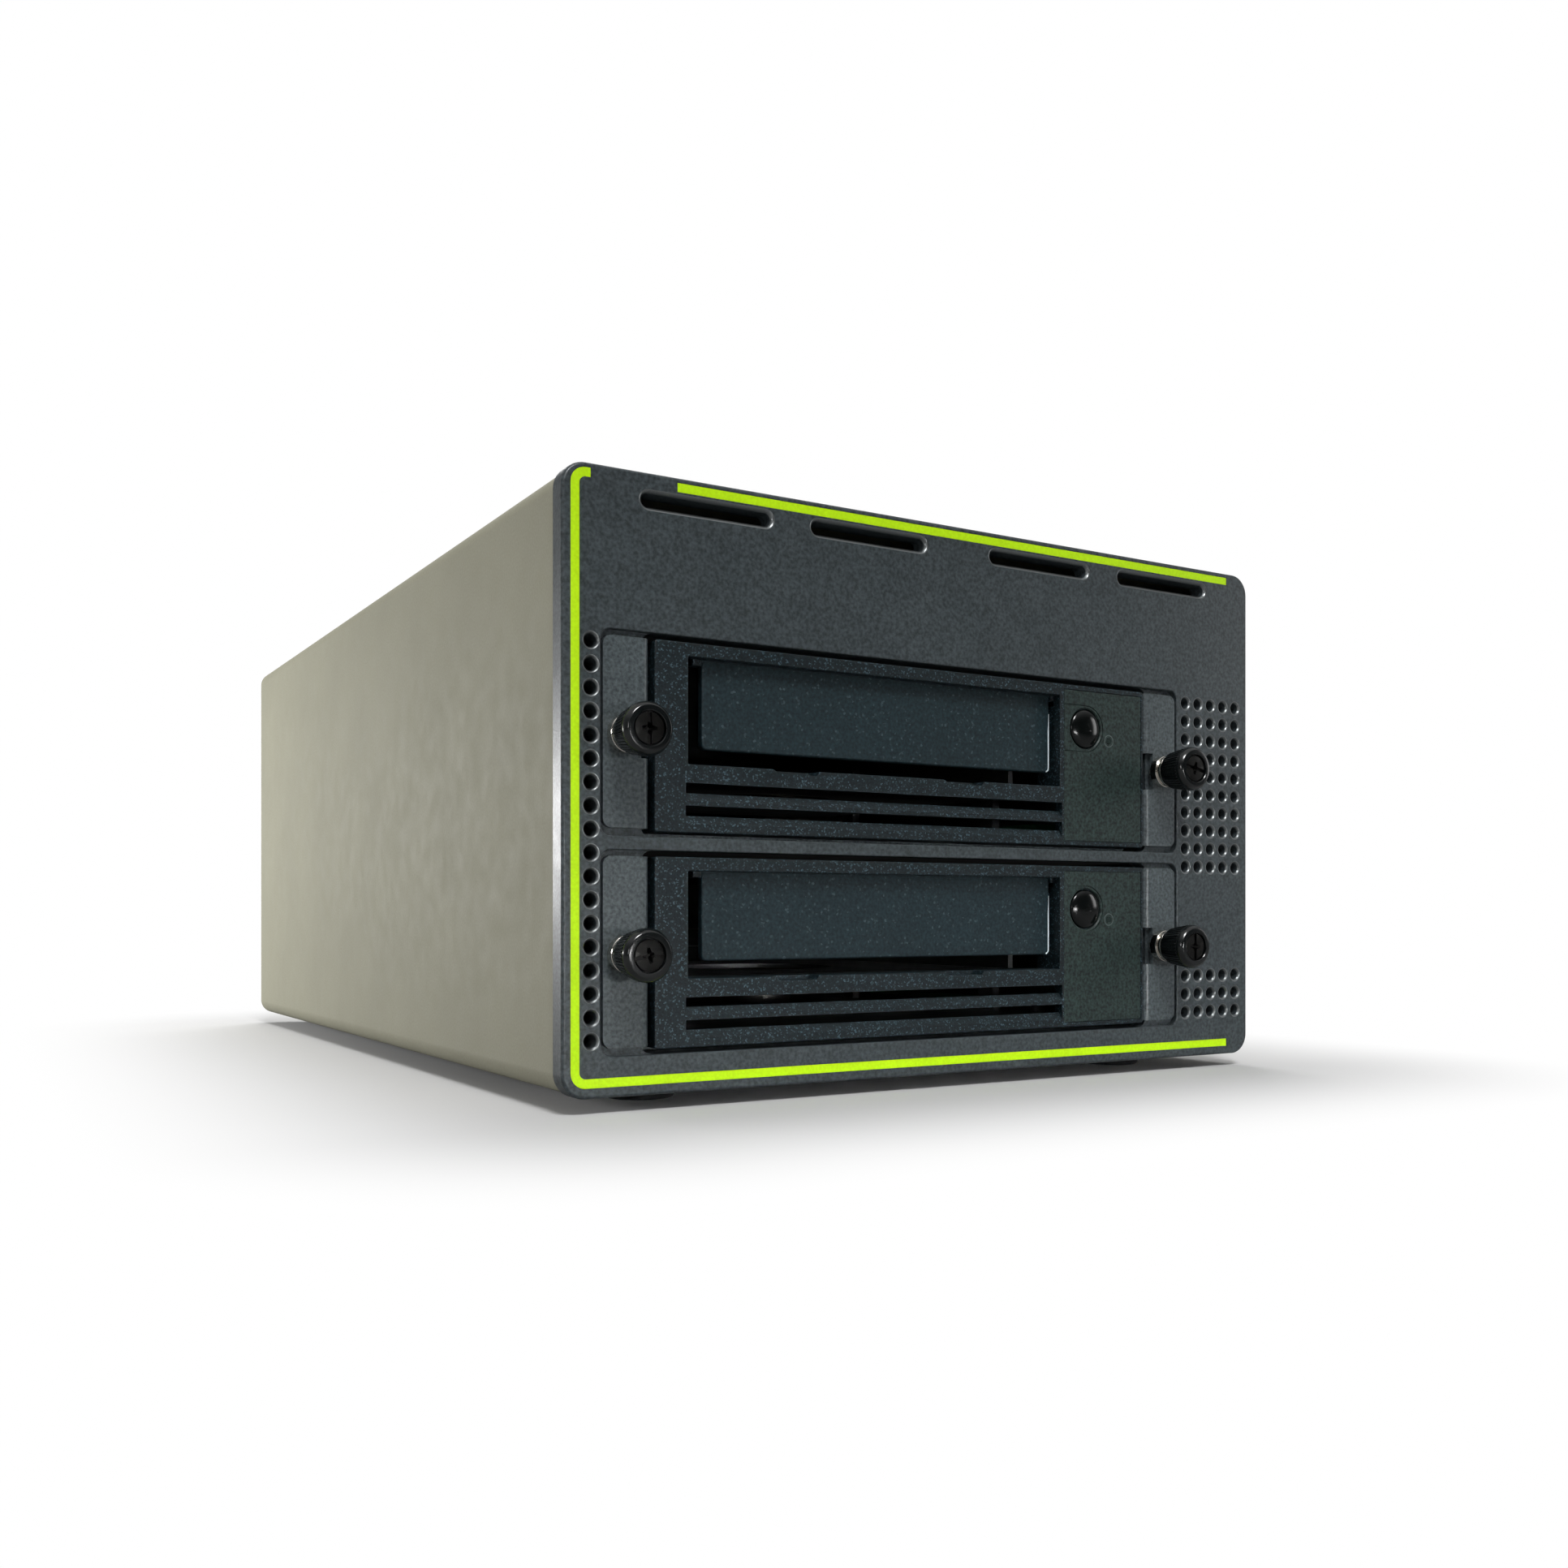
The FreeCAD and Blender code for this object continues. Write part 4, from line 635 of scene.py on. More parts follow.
@dataclass
class Repeat:
    """A tree that sets copies of one shape on a grid or round a ring."""

    name: str
    shape: Piece
    finish: str

    def _tree(self, kinds: Mapping[str, str]) -> tuple[Graph, bpy.types.Node]:
        """An empty tree with its group input.

        Args:
            kinds: The type of each named input.

        Returns:
            The tree and the group input.
        """
        tree = bpy.data.node_groups.new(self.name, "GeometryNodeTree")
        for way in ("INPUT", "OUTPUT"):
            tree.interface.new_socket("Geometry", in_out=way, socket_type="NodeSocketGeometry")
        for label, kind in kinds.items():
            tree.interface.new_socket(label, in_out="INPUT", socket_type=f"NodeSocket{kind}")
        return Graph(tree), tree.nodes.new("NodeGroupInput")

    def _bake(self, graph: Graph, points: Socket, values: Mapping[str, object],
              rotation: Place | Socket = (0.0, 0.0, 0.0)) -> Piece:
        """Sets the shape on the points, dresses it, makes it real and bakes it.

        Args:
            graph: The tree's nodes.
            points: Where the copies go.
            values: What the named inputs get.
            rotation: How the copies are turned.

        Returns:
            All copies as one mesh.
        """
        source = graph.add("GeometryNodeObjectInfo", {"Object": self.shape}, "Geometry")
        copies = graph.add("GeometryNodeInstanceOnPoints", {
            "Points": points, "Instance": source, "Rotation": rotation}, "Instances")
        real = graph.add("GeometryNodeRealizeInstances", {"Geometry": copies}, "Geometry")
        dressed = graph.add("GeometryNodeSetMaterial", {
            "Geometry": real, "Material": FINISHES[self.finish].material()}, "Geometry")
        graph.feed(graph.tree.nodes.new("NodeGroupOutput"), {"Geometry": dressed})
        made = placed(self.name, bpy.data.meshes.new(self.name))
        modifier = made.modifiers.new("repeat", "NODES")
        modifier.node_group = graph.tree
        for item in graph.tree.interface.items_tree:
            if item.name in values:
                modifier[item.identifier] = values[item.name]
        settle(made)
        bpy.data.objects.remove(self.shape)
        return made

    def grid(self, corner: Place, pitch: Point, counts: tuple[int, int]) -> Piece:
        """Copies in an upright grid.

        Args:
            corner: Where the lowest left copy goes.
            pitch: The steps across and up.
            counts: How many go across and up.

        Returns:
            All copies as one mesh.
        """
        graph, inlet = self._tree({"Across": "Int", "Up": "Int", "Wide": "Float",
                                   "Tall": "Float", "Middle": "Vector"})
        given = inlet.outputs
        mesh = graph.add("GeometryNodeMeshGrid", {
            "Vertices X": given["Across"], "Vertices Y": given["Up"],
            "Size X": given["Wide"], "Size Y": given["Tall"]}, "Mesh")
        stand = graph.add("GeometryNodeTransform", {
            "Geometry": mesh, "Rotation": (math.pi / 2, 0.0, 0.0),
            "Translation": given["Middle"]}, "Geometry")
        wide, tall = pitch[0] * (counts[0] - 1), pitch[1] * (counts[1] - 1)
        middle = (corner[0] + wide / 2, corner[1], corner[2] + tall / 2)
        return self._bake(graph, stand, {
            "Across": counts[0], "Up": counts[1], "Wide": wide * MM, "Tall": tall * MM,
            "Middle": tuple(value * MM for value in middle)})

    def ring(self, centre: Place, count: int) -> Piece:
        """Copies turned about an axis from the front to the back.

        Args:
            centre: A point of the axis; the shape is drawn about the frame's origin.
            count: How many go round.

        Returns:
            All copies as one mesh.
        """
        graph, inlet = self._tree({"Count": "Int", "Middle": "Vector"})
        number = graph.add("GeometryNodeInputIndex", {}, "Index")
        share = graph.add("ShaderNodeMath", {0: number, 1: inlet.outputs["Count"]}, "Value",
                          operation="DIVIDE")
        whole = graph.add("ShaderNodeMath", {0: share, 1: 2 * math.pi}, "Value",
                          operation="MULTIPLY")
        turn = graph.add("ShaderNodeCombineXYZ", {"Y": whole}, "Vector")
        points = graph.add("GeometryNodePoints", {"Count": inlet.outputs["Count"]}, "Points")
        spots = graph.add("GeometryNodeSetPosition", {
            "Geometry": points, "Position": inlet.outputs["Middle"]}, "Geometry")
        return self._bake(graph, spots, {
            "Count": count, "Middle": tuple(value * MM for value in centre)}, turn)


# The case


@dataclass
class FrontPanel:
    """The thick moulded front, with its vents, slots, bay openings and accent stripe."""

    wide: float = 211.0
    tall: float = 137.0
    thick: float = 5.0
    corner: float = 5.5
    rim: float = 0.8
    recess_half: float = 86.9
    opening_half: float = 76.6
    bay_tall: float = 44.95
    recess_deep: float = 1.8
    bay_corner: float = 2.5
    lip: float = 0.35
    shank_out: float = 81.07
    shank_up: float = 22.2
    shank_hole: float = 3.0
    shank_deep: float = 7.0
    slot_wide: float = 33.0
    slot_tall: float = 3.1
    slot_up: float = 134.43
    slot_places: tuple[float, ...] = (-70.15, -25.95, 27.65, 71.85)
    slot_bevel: float = 0.85
    vent: float = 1.5
    vent_flare: float = 2.05
    vent_pitch: float = 5.08
    vent_column: float = 4.97
    vent_low: float = 15.9
    vent_left: float = -98.8
    vent_right: float = 80.7
    upper_low: float = 56.54
    left_holes: tuple[int, int] = (1, 18)
    low_holes: tuple[int, int] = (5, 3)
    high_holes: tuple[int, int] = (5, 10)
    stripe_inset: float = 2.0
    stripe_top: float = 1.2
    stripe_foot: float = 2.3
    stripe_wide: float = 2.1
    stripe_deep: float = 0.5
    stripe_end: float = 97.05
    stripe_gap: Point = (-98.8, -78.0)

    def stripe_outlines(self) -> list[Polygon]:
        """The outlines of the stripe's two runs.

        Returns:
            The long run round the left side, and the top run past a bare gap.
        """
        left, low = -self.wide / 2 + self.stripe_inset, PANEL_FOOT + self.stripe_foot
        high = PANEL_FOOT + self.tall - self.stripe_top
        outer = self.corner - self.stripe_inset
        inner = outer - self.stripe_wide
        middle = left + outer
        points = [(self.stripe_end, low), (self.stripe_end, low + self.stripe_wide)]
        points += arc((middle, low + outer), inner, 270, 180, 8)
        points += arc((middle, high - outer), inner, 180, 90, 8)
        foot = high - self.stripe_wide
        points += [(self.stripe_gap[0], foot), (self.stripe_gap[0], high)]
        points += arc((middle, high - outer), outer, 90, 180, 8)
        points += arc((middle, low + outer), outer, 180, 270, 8)
        top = ((self.stripe_gap[1], foot), (self.stripe_end, foot), (self.stripe_end, high),
               (self.stripe_gap[1], high))
        return [Polygon(tuple(points)), Polygon(top)]

    def _at_vents(self, name: str, profile: list[Point], segments: int) -> list[Piece]:
        """One turned shape at every vent.

        Args:
            name: What the shape is.
            profile: Its radii and depths.
            segments: How many steps go round it.

        Returns:
            One mesh of copies for each block of vents.
        """
        blocks = (
            ("left", self.vent_left, self.vent_low, self.left_holes),
            ("right_low", self.vent_right, self.vent_low, self.low_holes),
            ("right_high", self.vent_right, self.upper_low, self.high_holes),
        )
        made = []
        for block, left, low, counts in blocks:
            shape = lathe(f"{name}_{block}_one", profile, (0.0, 0.0), segments)
            repeat = Repeat(f"{name}_{block}", shape, "front_paint")
            made.append(repeat.grid((left, 0.0, low), (self.vent_column, self.vent_pitch), counts))
        return made

    def _slot(self, place: float, grow: float = 0.0) -> Outline:
        """The outline of an air slot.

        Args:
            place: Where its middle is, across.
            grow: How far it is drawn outwards all round.

        Returns:
            The outline.
        """
        half, tall = self.slot_wide / 2, self.slot_tall / 2
        return Outline(place - half - grow, self.slot_up - tall - grow, place + half + grow,
                       self.slot_up + tall + grow, tall + grow - 0.01, 10)

    def vents(self) -> list[Piece]:
        """The cutters of the vent holes, flared where they meet the face.

        Returns:
            One mesh of cutters for each block of vents.
        """
        flare = self.vent_flare - self.vent
        profile = [(0.0, -CLEAR), (self.vent_flare + 0.1, -CLEAR), (self.vent_flare + 0.1, -0.02),
                   (self.vent_flare, 0.0), (self.vent + flare * 0.45, flare * 0.3),
                   (self.vent + flare * 0.12, flare * 0.7), (self.vent, flare * 1.2),
                   (self.vent, self.thick + CLEAR), (0.0, self.thick + CLEAR)]
        return self._at_vents("vent", profile, 28)

    def build(self) -> None:
        """Builds and dresses the panel and its stripe."""
        top = PANEL_FOOT + self.tall
        outline = Outline(-self.wide / 2, PANEL_FOOT, self.wide / 2, top, self.corner, 12)
        panel = plate("panel_face", outline, 0.0, self.thick, rounded_edge(self.rim))
        for foot in BAY_FEET.values():
            recess, opening = (
                Outline(across(-half), foot, across(half), foot + self.bay_tall, self.bay_corner)
                for half in (self.recess_half, self.opening_half)
            )
            flare = [(-self.lip - 0.02, -0.5)] + [(-inset, depth - 0.001)
                                                  for inset, depth in rounded_edge(self.lip, 3)]
            carve(panel, plate("bay_recess", recess, 0.0, self.recess_deep, flare),
                  plate("bay_opening", opening, -CLEAR, self.thick + CLEAR))
            for side in (-1, 1):
                centre = (across(side * self.shank_out), foot + self.shank_up)
                hole = [(0.0, -CLEAR), (self.shank_hole, -CLEAR),
                        (self.shank_hole, self.shank_deep), (0.0, self.shank_deep)]
                carve(panel, lathe("shank_hole", hole, centre, 32))
        for run in self.stripe_outlines():
            carve(panel, plate("stripe_channel", run, -CLEAR, self.stripe_deep))
        for place in self.slot_places:
            carve(panel, plate("air_slot", self._slot(place), 0.0, self.thick + CLEAR,
                               flared(self.slot_bevel)))
        carve(panel, *self.vents())
        fit(smooth(panel), "front_paint", "case", "front_panel")
        self._lips()
        runs = [plate(f"stripe_{i}", run, 0.04, self.stripe_deep, rounded_edge(0.12, 2))
                for i, run in enumerate(self.stripe_outlines())]
        fit(smooth(joined("stripe_inlay", runs)), "accent", "case", "accent_stripe")

    def _lips(self) -> None:
        """The burnished flares round the vents and the air slots, a hair proud of the paint."""
        flare = self.vent_flare - self.vent
        middle = self.vent + flare * 0.45
        profile = [(self.vent_flare - 0.01, 0.01), (middle, flare * 0.3), (self.vent, flare),
                   (self.vent - 0.03, flare), (middle - 0.03, flare * 0.3 - 0.015),
                   (self.vent_flare - 0.04, 0.0), (self.vent_flare - 0.01, 0.01)]
        lips = self._at_vents("vent_lip", profile, 24)
        for index, place in enumerate(self.slot_places):
            reach = self.slot_bevel
            ring = plate(f"slot_lip_{index}", self._slot(place, reach), 0.01, reach)
            carve(ring, plate("slot_bore", self._slot(place, -0.02), 0.0, reach + CLEAR,
                              flared(reach)))
            lips.append(ring)
        fit(smooth(joined("burnished_lips", lips), 50.0), "worn_edge", "case", slotted=False)


@dataclass
class CaseCover:
    """The folded cover round the case, and the feet under it."""

    half: float = 105.0
    low: float = 4.0
    high: float = 140.0
    corner: float = 5.0
    wall: float = 1.2
    start: float = 5.6
    end: float = 315.0
    lip: float = 13.0
    hem: float = 0.3

    def section(self, inset: float = 0.0) -> list[Point]:
        """The cover's section: out along its outer face and back along its inner one.

        Args:
            inset: How far both faces move into the sheet.

        Returns:
            The points, once round the sheet.
        """
        made = []
        for grow, order in ((-inset, 1), (-self.wall + inset, -1)):
            radius = self.corner + grow
            mid = self.half - self.corner
            corners = ((mid, self.low + self.corner, 270), (mid, self.high - self.corner, 0),
                       (-mid, self.high - self.corner, 90), (-mid, self.low + self.corner, 180))
            side = [(self.half - self.lip + inset, self.low - grow)]
            for x, z, start in corners:
                side += arc((x, z), radius, start, start + 90, 12)
            side.append((-self.half + self.lip - inset, self.low - grow))
            made += side[::order]
        return made

    def build(self) -> None:
        """Builds and dresses the cover and the feet."""
        rows = rounded_edge(self.hem, 3)
        rings = [(inset, self.start + depth) for inset, depth in rows]
        rings += [(inset, self.end - depth) for inset, depth in reversed(rows)]
        cover = loft("case_cover", [[(x, FRONT + depth, z) for x, z in self.section(inset)]
                                    for inset, depth in rings])
        fit(smooth(cover), "case_paint", "case", "case_wrap")
        fit(softened("feet", "rubber_feet", 0.5, 3), "feet_rubber", "case", "rubber_feet")


# The drives


@dataclass
class Bezel:
    """A drive's front: moulded bezel with grille and slot, its door and its controls."""

    bay: str
    half: float = 74.0
    low: float = 1.15
    tall: float = 42.55
    deep: float = 9.0
    skin: float = 2.7
    corner: float = 0.8
    wall: float = 1.1
    slot_left: float = -65.6
    slot_right: float = 44.0
    slot_low: float = 16.55
    slot_high: float = 40.55
    sill: float = 1.2
    grilles: tuple[float, ...] = (10.1, 5.0)
    grille_tall: float = 2.25
    grille_over: float = 0.7
    slope_tall: float = 1.8
    slope_deep: float = 1.25
    notches: tuple[float, ...] = (-43.7, 5.8)
    notch_wide: float = 12.8
    notch_ramp: float = 1.7
    notch_end: float = 0.8
    notch_deep: float = 1.0
    panel_left: float = 45.35
    panel_right: float = 73.2
    panel_low: float = 2.3
    panel_high: float = 42.4
    panel_deep: float = 1.0
    button: Point = (53.0, 32.3)
    button_half: float = 5.1
    button_front: float = -0.9
    button_back: float = 6.9
    sign_half: float = 1.1
    light: Point = (61.3, 29.5)
    light_half: float = 0.8
    mark_inner: float = 1.42
    mark_outer: float = 1.66
    field_half: float = 6.25
    door_left: float = -60.7
    door_right: float = 42.8
    door_low: float = 20.3
    door_front: float = 3.0
    door_back: float = 5.0
    door_corner: float = 1.3
    hinge_up: float = 40.6
    hinge_deep: float = 4.1
    barrel: float = 1.08
    pin: float = 0.88
    lug_wide: float = 2.3
    lug_top: float = 42.4
    lug_back: float = 6.5
    foot: float = field(init=False)

    def __post_init__(self) -> None:
        """Looks up where the bay's foot is."""
        self.foot = BAY_FEET[self.bay]

    def outline(self, left: float, low: float, right: float, high: float,
                radius: float = 0.0, steps: int = 6) -> Outline:
        """An outline given from the middle and the foot of the bay."""
        return Outline(*self.spot((left, low)), *self.spot((right, high)), radius, steps)

    def spot(self, place: Point) -> Point:
        """A place given from the middle and the foot of the bay."""
        return across(place[0]), self.foot + place[1]

    def build(self) -> None:
        """Builds and dresses the bezel, the door and the controls."""
        self._bezel()
        self._door()
        self._insert()
        self._button()

    def _bezel(self) -> None:
        """The bezel's shell with its slot and grille, and the walls and lugs behind it."""
        high = self.low + self.tall
        shell = plate("shell", self.outline(-self.half, self.low, self.half, high, self.corner),
                      0.0, self.deep, rounded_edge(0.35, 3))
        carve(shell, plate("hollow", self.outline(-self.half + self.wall, self.low + self.wall,
                                                  self.half - self.wall, high - self.wall),
                           self.skin, self.deep + CLEAR))
        soft = [(-0.3, -0.5), (-0.3, -0.001), (-0.12, 0.1), (0.0, 0.3)]
        slot = self.outline(self.slot_left, self.slot_low, self.slot_right, self.slot_high, 0.2, 2)
        carve(shell, plate("slot", slot, 0.0, self.skin + CLEAR, soft))
        for up in self.grilles:
            low, top = self.foot + up, self.foot + up + self.grille_tall
            reach = CLEAR + self.slope_deep
            drop = self.slope_tall / self.slope_deep
            section = [(-CLEAR, top), (-CLEAR, low - drop * reach), (self.slope_deep, low),
                       (self.skin + CLEAR, low), (self.skin + CLEAR, top)]
            carve(shell, beam("grille", section, across(self.slot_left - self.grille_over),
                              across(self.slot_right + self.grille_over)))
        for start in self.notches:
            carve(shell, plate("notch", self._notch(start), -CLEAR, self.deep / 2))
        carve(shell, plate("panel_recess", self.outline(self.panel_left, self.panel_low,
                                                        self.panel_right, self.panel_high),
                           -CLEAR, self.panel_deep))
        shell.name = f"{self.bay}_bezel_shell"
        fit(smooth(shell), "bezel_plastic", f"{self.bay}_sled")
        sill = self._slot_walls()
        fit(smooth(sill), "bezel_plastic", f"{self.bay}_sled", f"{self.bay}_drive_bezel")

    def _slot_walls(self) -> Piece:
        """The walls that run back from the slot, and the lugs of the door's hinge.

        Returns:
            The walls and the lugs as one piece.
        """
        low, top = self.slot_low, self.hinge_up - 2.6
        walls = plate("walls", self.outline(self.slot_left - self.sill, low - self.sill,
                                            self.slot_right + 0.8, top),
                      self.skin - 0.2, self.deep)
        mouth = self.outline(self.slot_left, low, self.slot_right, top + CLEAR)
        carve(walls, plate("mouth", mouth, self.skin - CLEAR, self.deep + CLEAR))
        for start in self.notches:
            carve(walls, plate("notch", self._notch(start), -CLEAR, self.deep / 2))
        sides = (self.door_left - 0.3 - self.lug_wide, self.door_right + 0.3)
        lugs = [plate("lug", self.outline(left, self.hinge_up - 1.4, left + self.lug_wide,
                                          self.lug_top),
                      self.skin - 0.2, self.lug_back, rounded_edge(0.3, 3)) for left in sides]
        return joined(f"{self.bay}_slot_walls", [walls, *lugs])

    def _notch(self, start: float) -> Polygon:
        """The outline of a notch in the sill, with a long ramp on its left.

        Args:
            start: Where its left end is, from the middle of the bay.

        Returns:
            The outline.
        """
        left, right = across(start), across(start + self.notch_wide)
        top = self.foot + self.slot_low
        low = top - self.notch_deep
        return Polygon(((left - self.notch_ramp, top + CLEAR), (left + self.notch_ramp, low),
                        (right - self.notch_end, low), (right + self.notch_end, top + CLEAR)))

    def _door(self) -> None:
        """The cartridge door, with its rounded lower corners and its hinge barrel."""
        left, right = self.door_left, self.door_right
        outline = self.outline(left, self.door_low, right, self.hinge_up, self.door_corner, 8)
        door = plate("door", outline, self.door_front, self.door_back, rounded_edge(0.45, 4),
                     rounded_edge(0.2, 2))
        barrel = self._rod(across(left), across(right), self.barrel)
        pin = self._rod(across(left - self.lug_wide), across(right + self.lug_wide), self.pin)
        made = joined(f"{self.bay}_door_panel", [door, barrel, pin])
        fit(smooth(made), "door_plastic", f"{self.bay}_door", f"{self.bay}_cartridge_door")
        # The door's bevel highlight is painted on as a pale strip.
        self._door_edge()

    def _door_edge(self) -> None:
        """A painted highlight: a pale strip on the right edge of the door and round its lower
        corner, in place of the light that the bevel there catches.
        """
        radius, wide, rise, length = self.door_corner, 0.45, 4.5, 15.5
        x, z = across(self.door_right), self.foot + self.door_low
        outer, inner = (arc((x - radius, z + radius), radius - inset, 0, -80, 8)
                        for inset in (0.08, wide))
        top = z + length
        corners = [(x - 0.08, top), *outer, *reversed(inner), (x - wide, top - rise)]
        # A pale strip just proud of the door face, painted as the bevel's highlight.
        edge = plate(f"{self.bay}_door_bevel", Polygon(tuple(reversed(corners))), 2.93, 3.3)
        fit(smooth(edge), "door_edge", f"{self.bay}_door", slotted=False)

    def _rod(self, start: float, end: float, radius: float) -> Piece:
        """A rod along the door's hinge.

        Args:
            start: Where it starts, across the case.
            end: Where it ends.
            radius: Its radius.

        Returns:
            The rod.
        """
        turns = [2 * math.pi * turn / 24 for turn in range(24)]
        level = self.foot + self.hinge_up
        section = [(self.hinge_deep + radius * math.cos(turn), level + radius * math.sin(turn))
                   for turn in turns]
        return beam("rod", section, start, end)

    def _insert(self) -> None:
        """The smooth control insert, with the stepped field round the button."""
        gap = 0.12
        outline = self.outline(self.panel_left + gap, self.panel_low + gap,
                               self.panel_right - gap, self.panel_high - gap, 0.2, 2)
        insert = plate("insert", outline, 0.02, self.panel_deep, rounded_edge(0.15, 2))
        radius, left = self.field_half, across(self.panel_left) - 2 * self.field_half
        centre = middle, level = self.spot(self.button)
        groove = plate("groove", Outline(left, level - radius, middle + radius, level + radius,
                                         radius - 0.01, 16), -CLEAR, 0.35)
        radius -= 0.25
        carve(groove, plate("kept", Outline(left, level - radius, middle + radius, level + radius,
                                            radius - 0.01, 16), -2 * CLEAR, CLEAR))
        carve(insert, groove)
        hole, deep = self.button_half + 0.3, 2.0
        carve(insert, lathe("button_hole", [(0.0, -CLEAR), (hole + 0.25, -CLEAR),
                                            (hole + 0.25, 0.02), (hole, 0.25), (hole, deep),
                                            (0.0, deep)], centre, 64))
        spot, wide = self.spot(self.light), self.light_half + 0.1
        carve(insert, lathe("light_hole", [(0.0, -CLEAR), (wide, -CLEAR), (wide, deep),
                                           (0.0, deep)], spot, 32))
        inner, outer = self.mark_inner, self.mark_outer
        ring = lathe(f"{self.bay}_light_mark", [(inner, -0.005), (outer, -0.005), (outer, 0.06),
                                                (inner, 0.06), (inner, -0.005)], spot, 48)
        fit(ring, "mark_grey", f"{self.bay}_sled", slotted=False)
        insert.name = f"{self.bay}_control_plate"
        fit(smooth(insert), "insert_plastic", f"{self.bay}_sled", f"{self.bay}_control_insert")

    def _button(self) -> None:
        """The domed eject button with its raised sign."""
        centre = x, z = self.spot(self.button)
        radius = self.button_half
        dome = [(0.0, self.button_front)]
        for step in range(1, 11):
            turn = math.radians(90 * step / 10)
            dome.append((radius * math.sin(turn), 0.5 - 1.4 * math.cos(turn)))
        dome += [(radius, self.button_back), (0.0, self.button_back)]
        button = lathe("button", dome, centre, 64)
        left, right = x - self.sign_half, x + self.sign_half
        arrow = Polygon(((left, z - 0.1), (right, z - 0.1), (x, z + 1.3)))
        bar = Polygon(((left, z - 0.8), (right, z - 0.8), (right, z - 0.45), (left, z - 0.45)))
        signs = [plate("sign", outline, self.button_front, 0.2, rounded_edge(0.08, 2))
                 for outline in (arrow, bar)]
        made = joined(f"{self.bay}_button_cap", [button, *signs])
        fit(smooth(made), "button_plastic", f"{self.bay}_button", f"{self.bay}_eject_button")


class Side(Enum):
    """The side of a bay that a thumbscrew is on."""

    LEFT = -1
    RIGHT = 1


@dataclass
class Thumbscrew:
    """A captive thumbscrew: thrust washer, knurled knob and recessed screw."""

    bay: str
    side: Side
    out: float = 81.07
    up: float = 22.2
    back: float = 4.98
    wide: float = 5.84
    face: float = 4.93
    start: float = -4.1
    end: float = -12.58
    band: float = 2.0
    cup: float = 3.77
    cup_deep: float = 1.48
    head: float = 3.45
    head_thick: float = 1.1
    shank: float = 2.05
    bore: float = 2.2
    tip: float = 8.9
    washer: float = 4.5
    washer_back: float = -3.0
    washer_front: float = -3.8
    slot_half: float = 0.45
    arm: float = 1.75
    ribs: int = 44
    rib_foot: float = 0.3
    rib_crest: float = 0.1
    rib_deep: float = 0.4
    centre: Point = field(init=False)
    place: str = field(init=False)

    def __post_init__(self) -> None:
        """Finds the axis, and the name that the pieces start with."""
        self.centre = (across(self.side.value * self.out), BAY_FEET[self.bay] + self.up)
        self.place = f"{self.bay}_{self.side.name.lower()}"

    def build(self) -> None:
        """Builds and dresses the knob, its screw and its washer."""
        self._knob()
        self._screw()
        self._washer()

    def _knob(self) -> None:
        """The knob: a knurled cone that widens to a smooth, rounded front band."""
        start, end, wide, bore = self.start, self.end, self.wide, self.bore
        body = [
            (bore, start), (self.back - 0.5, start), (self.back - 0.2, start - 0.35),
            (wide - 0.22, end + self.band + 0.1), (wide - 0.06, end + self.band - 0.1),
            (wide, end + self.band - 0.35), (wide - 0.04, end + 1.3), (wide - 0.18, end + 0.9),
            (wide - 0.42, end + 0.5), (wide - 0.7, end + 0.2), (self.face, end + 0.03),
            (self.face - 0.12, end), (self.cup + 0.12, end), (self.cup, end + 0.12),
            (self.cup, end + self.cup_deep), (bore, end + self.cup_deep), (bore, start),
        ]
        knob = lathe("knob_body", body, self.centre, 96)
        middle = (self.centre[0], 0.0, self.centre[1])
        made = Repeat(f"{self.place}_knurl", self._rib(), "knob_black").ring(middle, self.ribs)
        knob = joined(f"{self.place}_knob_grip", [knob, made])
        fit(smooth(knob, 40.0), "knob_black", f"{self.place}_thumbscrew", f"{self.place}_knob")

    def _rib(self) -> Piece:
        """One rib of the knurl, drawn about the frame's origin at the top of the knob.

        Returns:
            The rib.
        """
        foot, crest, front = self.rib_foot, self.rib_crest, self.end + self.band
        rows = ((self.start - 0.3, self.back - 0.3), (self.start - 0.6, self.back),
                (front + 0.3, self.wide), (front, self.wide - 0.2))
        return loft("knob_rib", [
            [(-foot, FRONT + depth, radius - self.rib_deep),
             (foot, FRONT + depth, radius - self.rib_deep),
             (crest, FRONT + depth, radius), (-crest, FRONT + depth, radius)]
            for depth, radius in rows])

    def _screw(self) -> None:
        """The screw, whose flat head takes a blade or a cross driver."""
        base, head, shank = self.end + self.cup_deep, self.head, self.shank
        crown = base - self.head_thick
        profile = [
            (0.0, crown), (head - 0.2, crown), (head - 0.06, crown + 0.06), (head, crown + 0.2),
            (head, base), (shank, base), (shank, self.tip - 0.5), (shank - 0.5, self.tip),
            (0.0, self.tip),
        ]
        screw = lathe("screw_body", profile, self.centre, 64)
        carve(screw, self._blade_slot(crown), self._cross(crown))
        screw.name = f"{self.place}_screw_head"
        fit(smooth(screw), "screw_black", f"{self.place}_thumbscrew", f"{self.place}_screw")

    def _lean(self) -> float:
        """How far the blade slot has been turned, as each screw was left.

        Returns:
            The angle, in radians.
        """
        if (self.bay == "lower") == (self.side is Side.LEFT):
            return math.radians(12.0 if self.side is Side.LEFT else -12.0)
        return math.pi / 2

    def _spot(self, along: float, aside: float, turn: float = 0.0) -> Point:
        """A place on the head, turned with it.

        Args:
            along: How far it lies from the axis along the blade slot.
            aside: How far beside the slot's middle.
            turn: How far it is turned besides, in radians.

        Returns:
            Where it is, across and up.
        """
        cosine, sine = math.cos(self._lean() + turn), math.sin(self._lean() + turn)
        return (self.centre[0] + along * cosine - aside * sine,
                self.centre[1] + along * sine + aside * cosine)

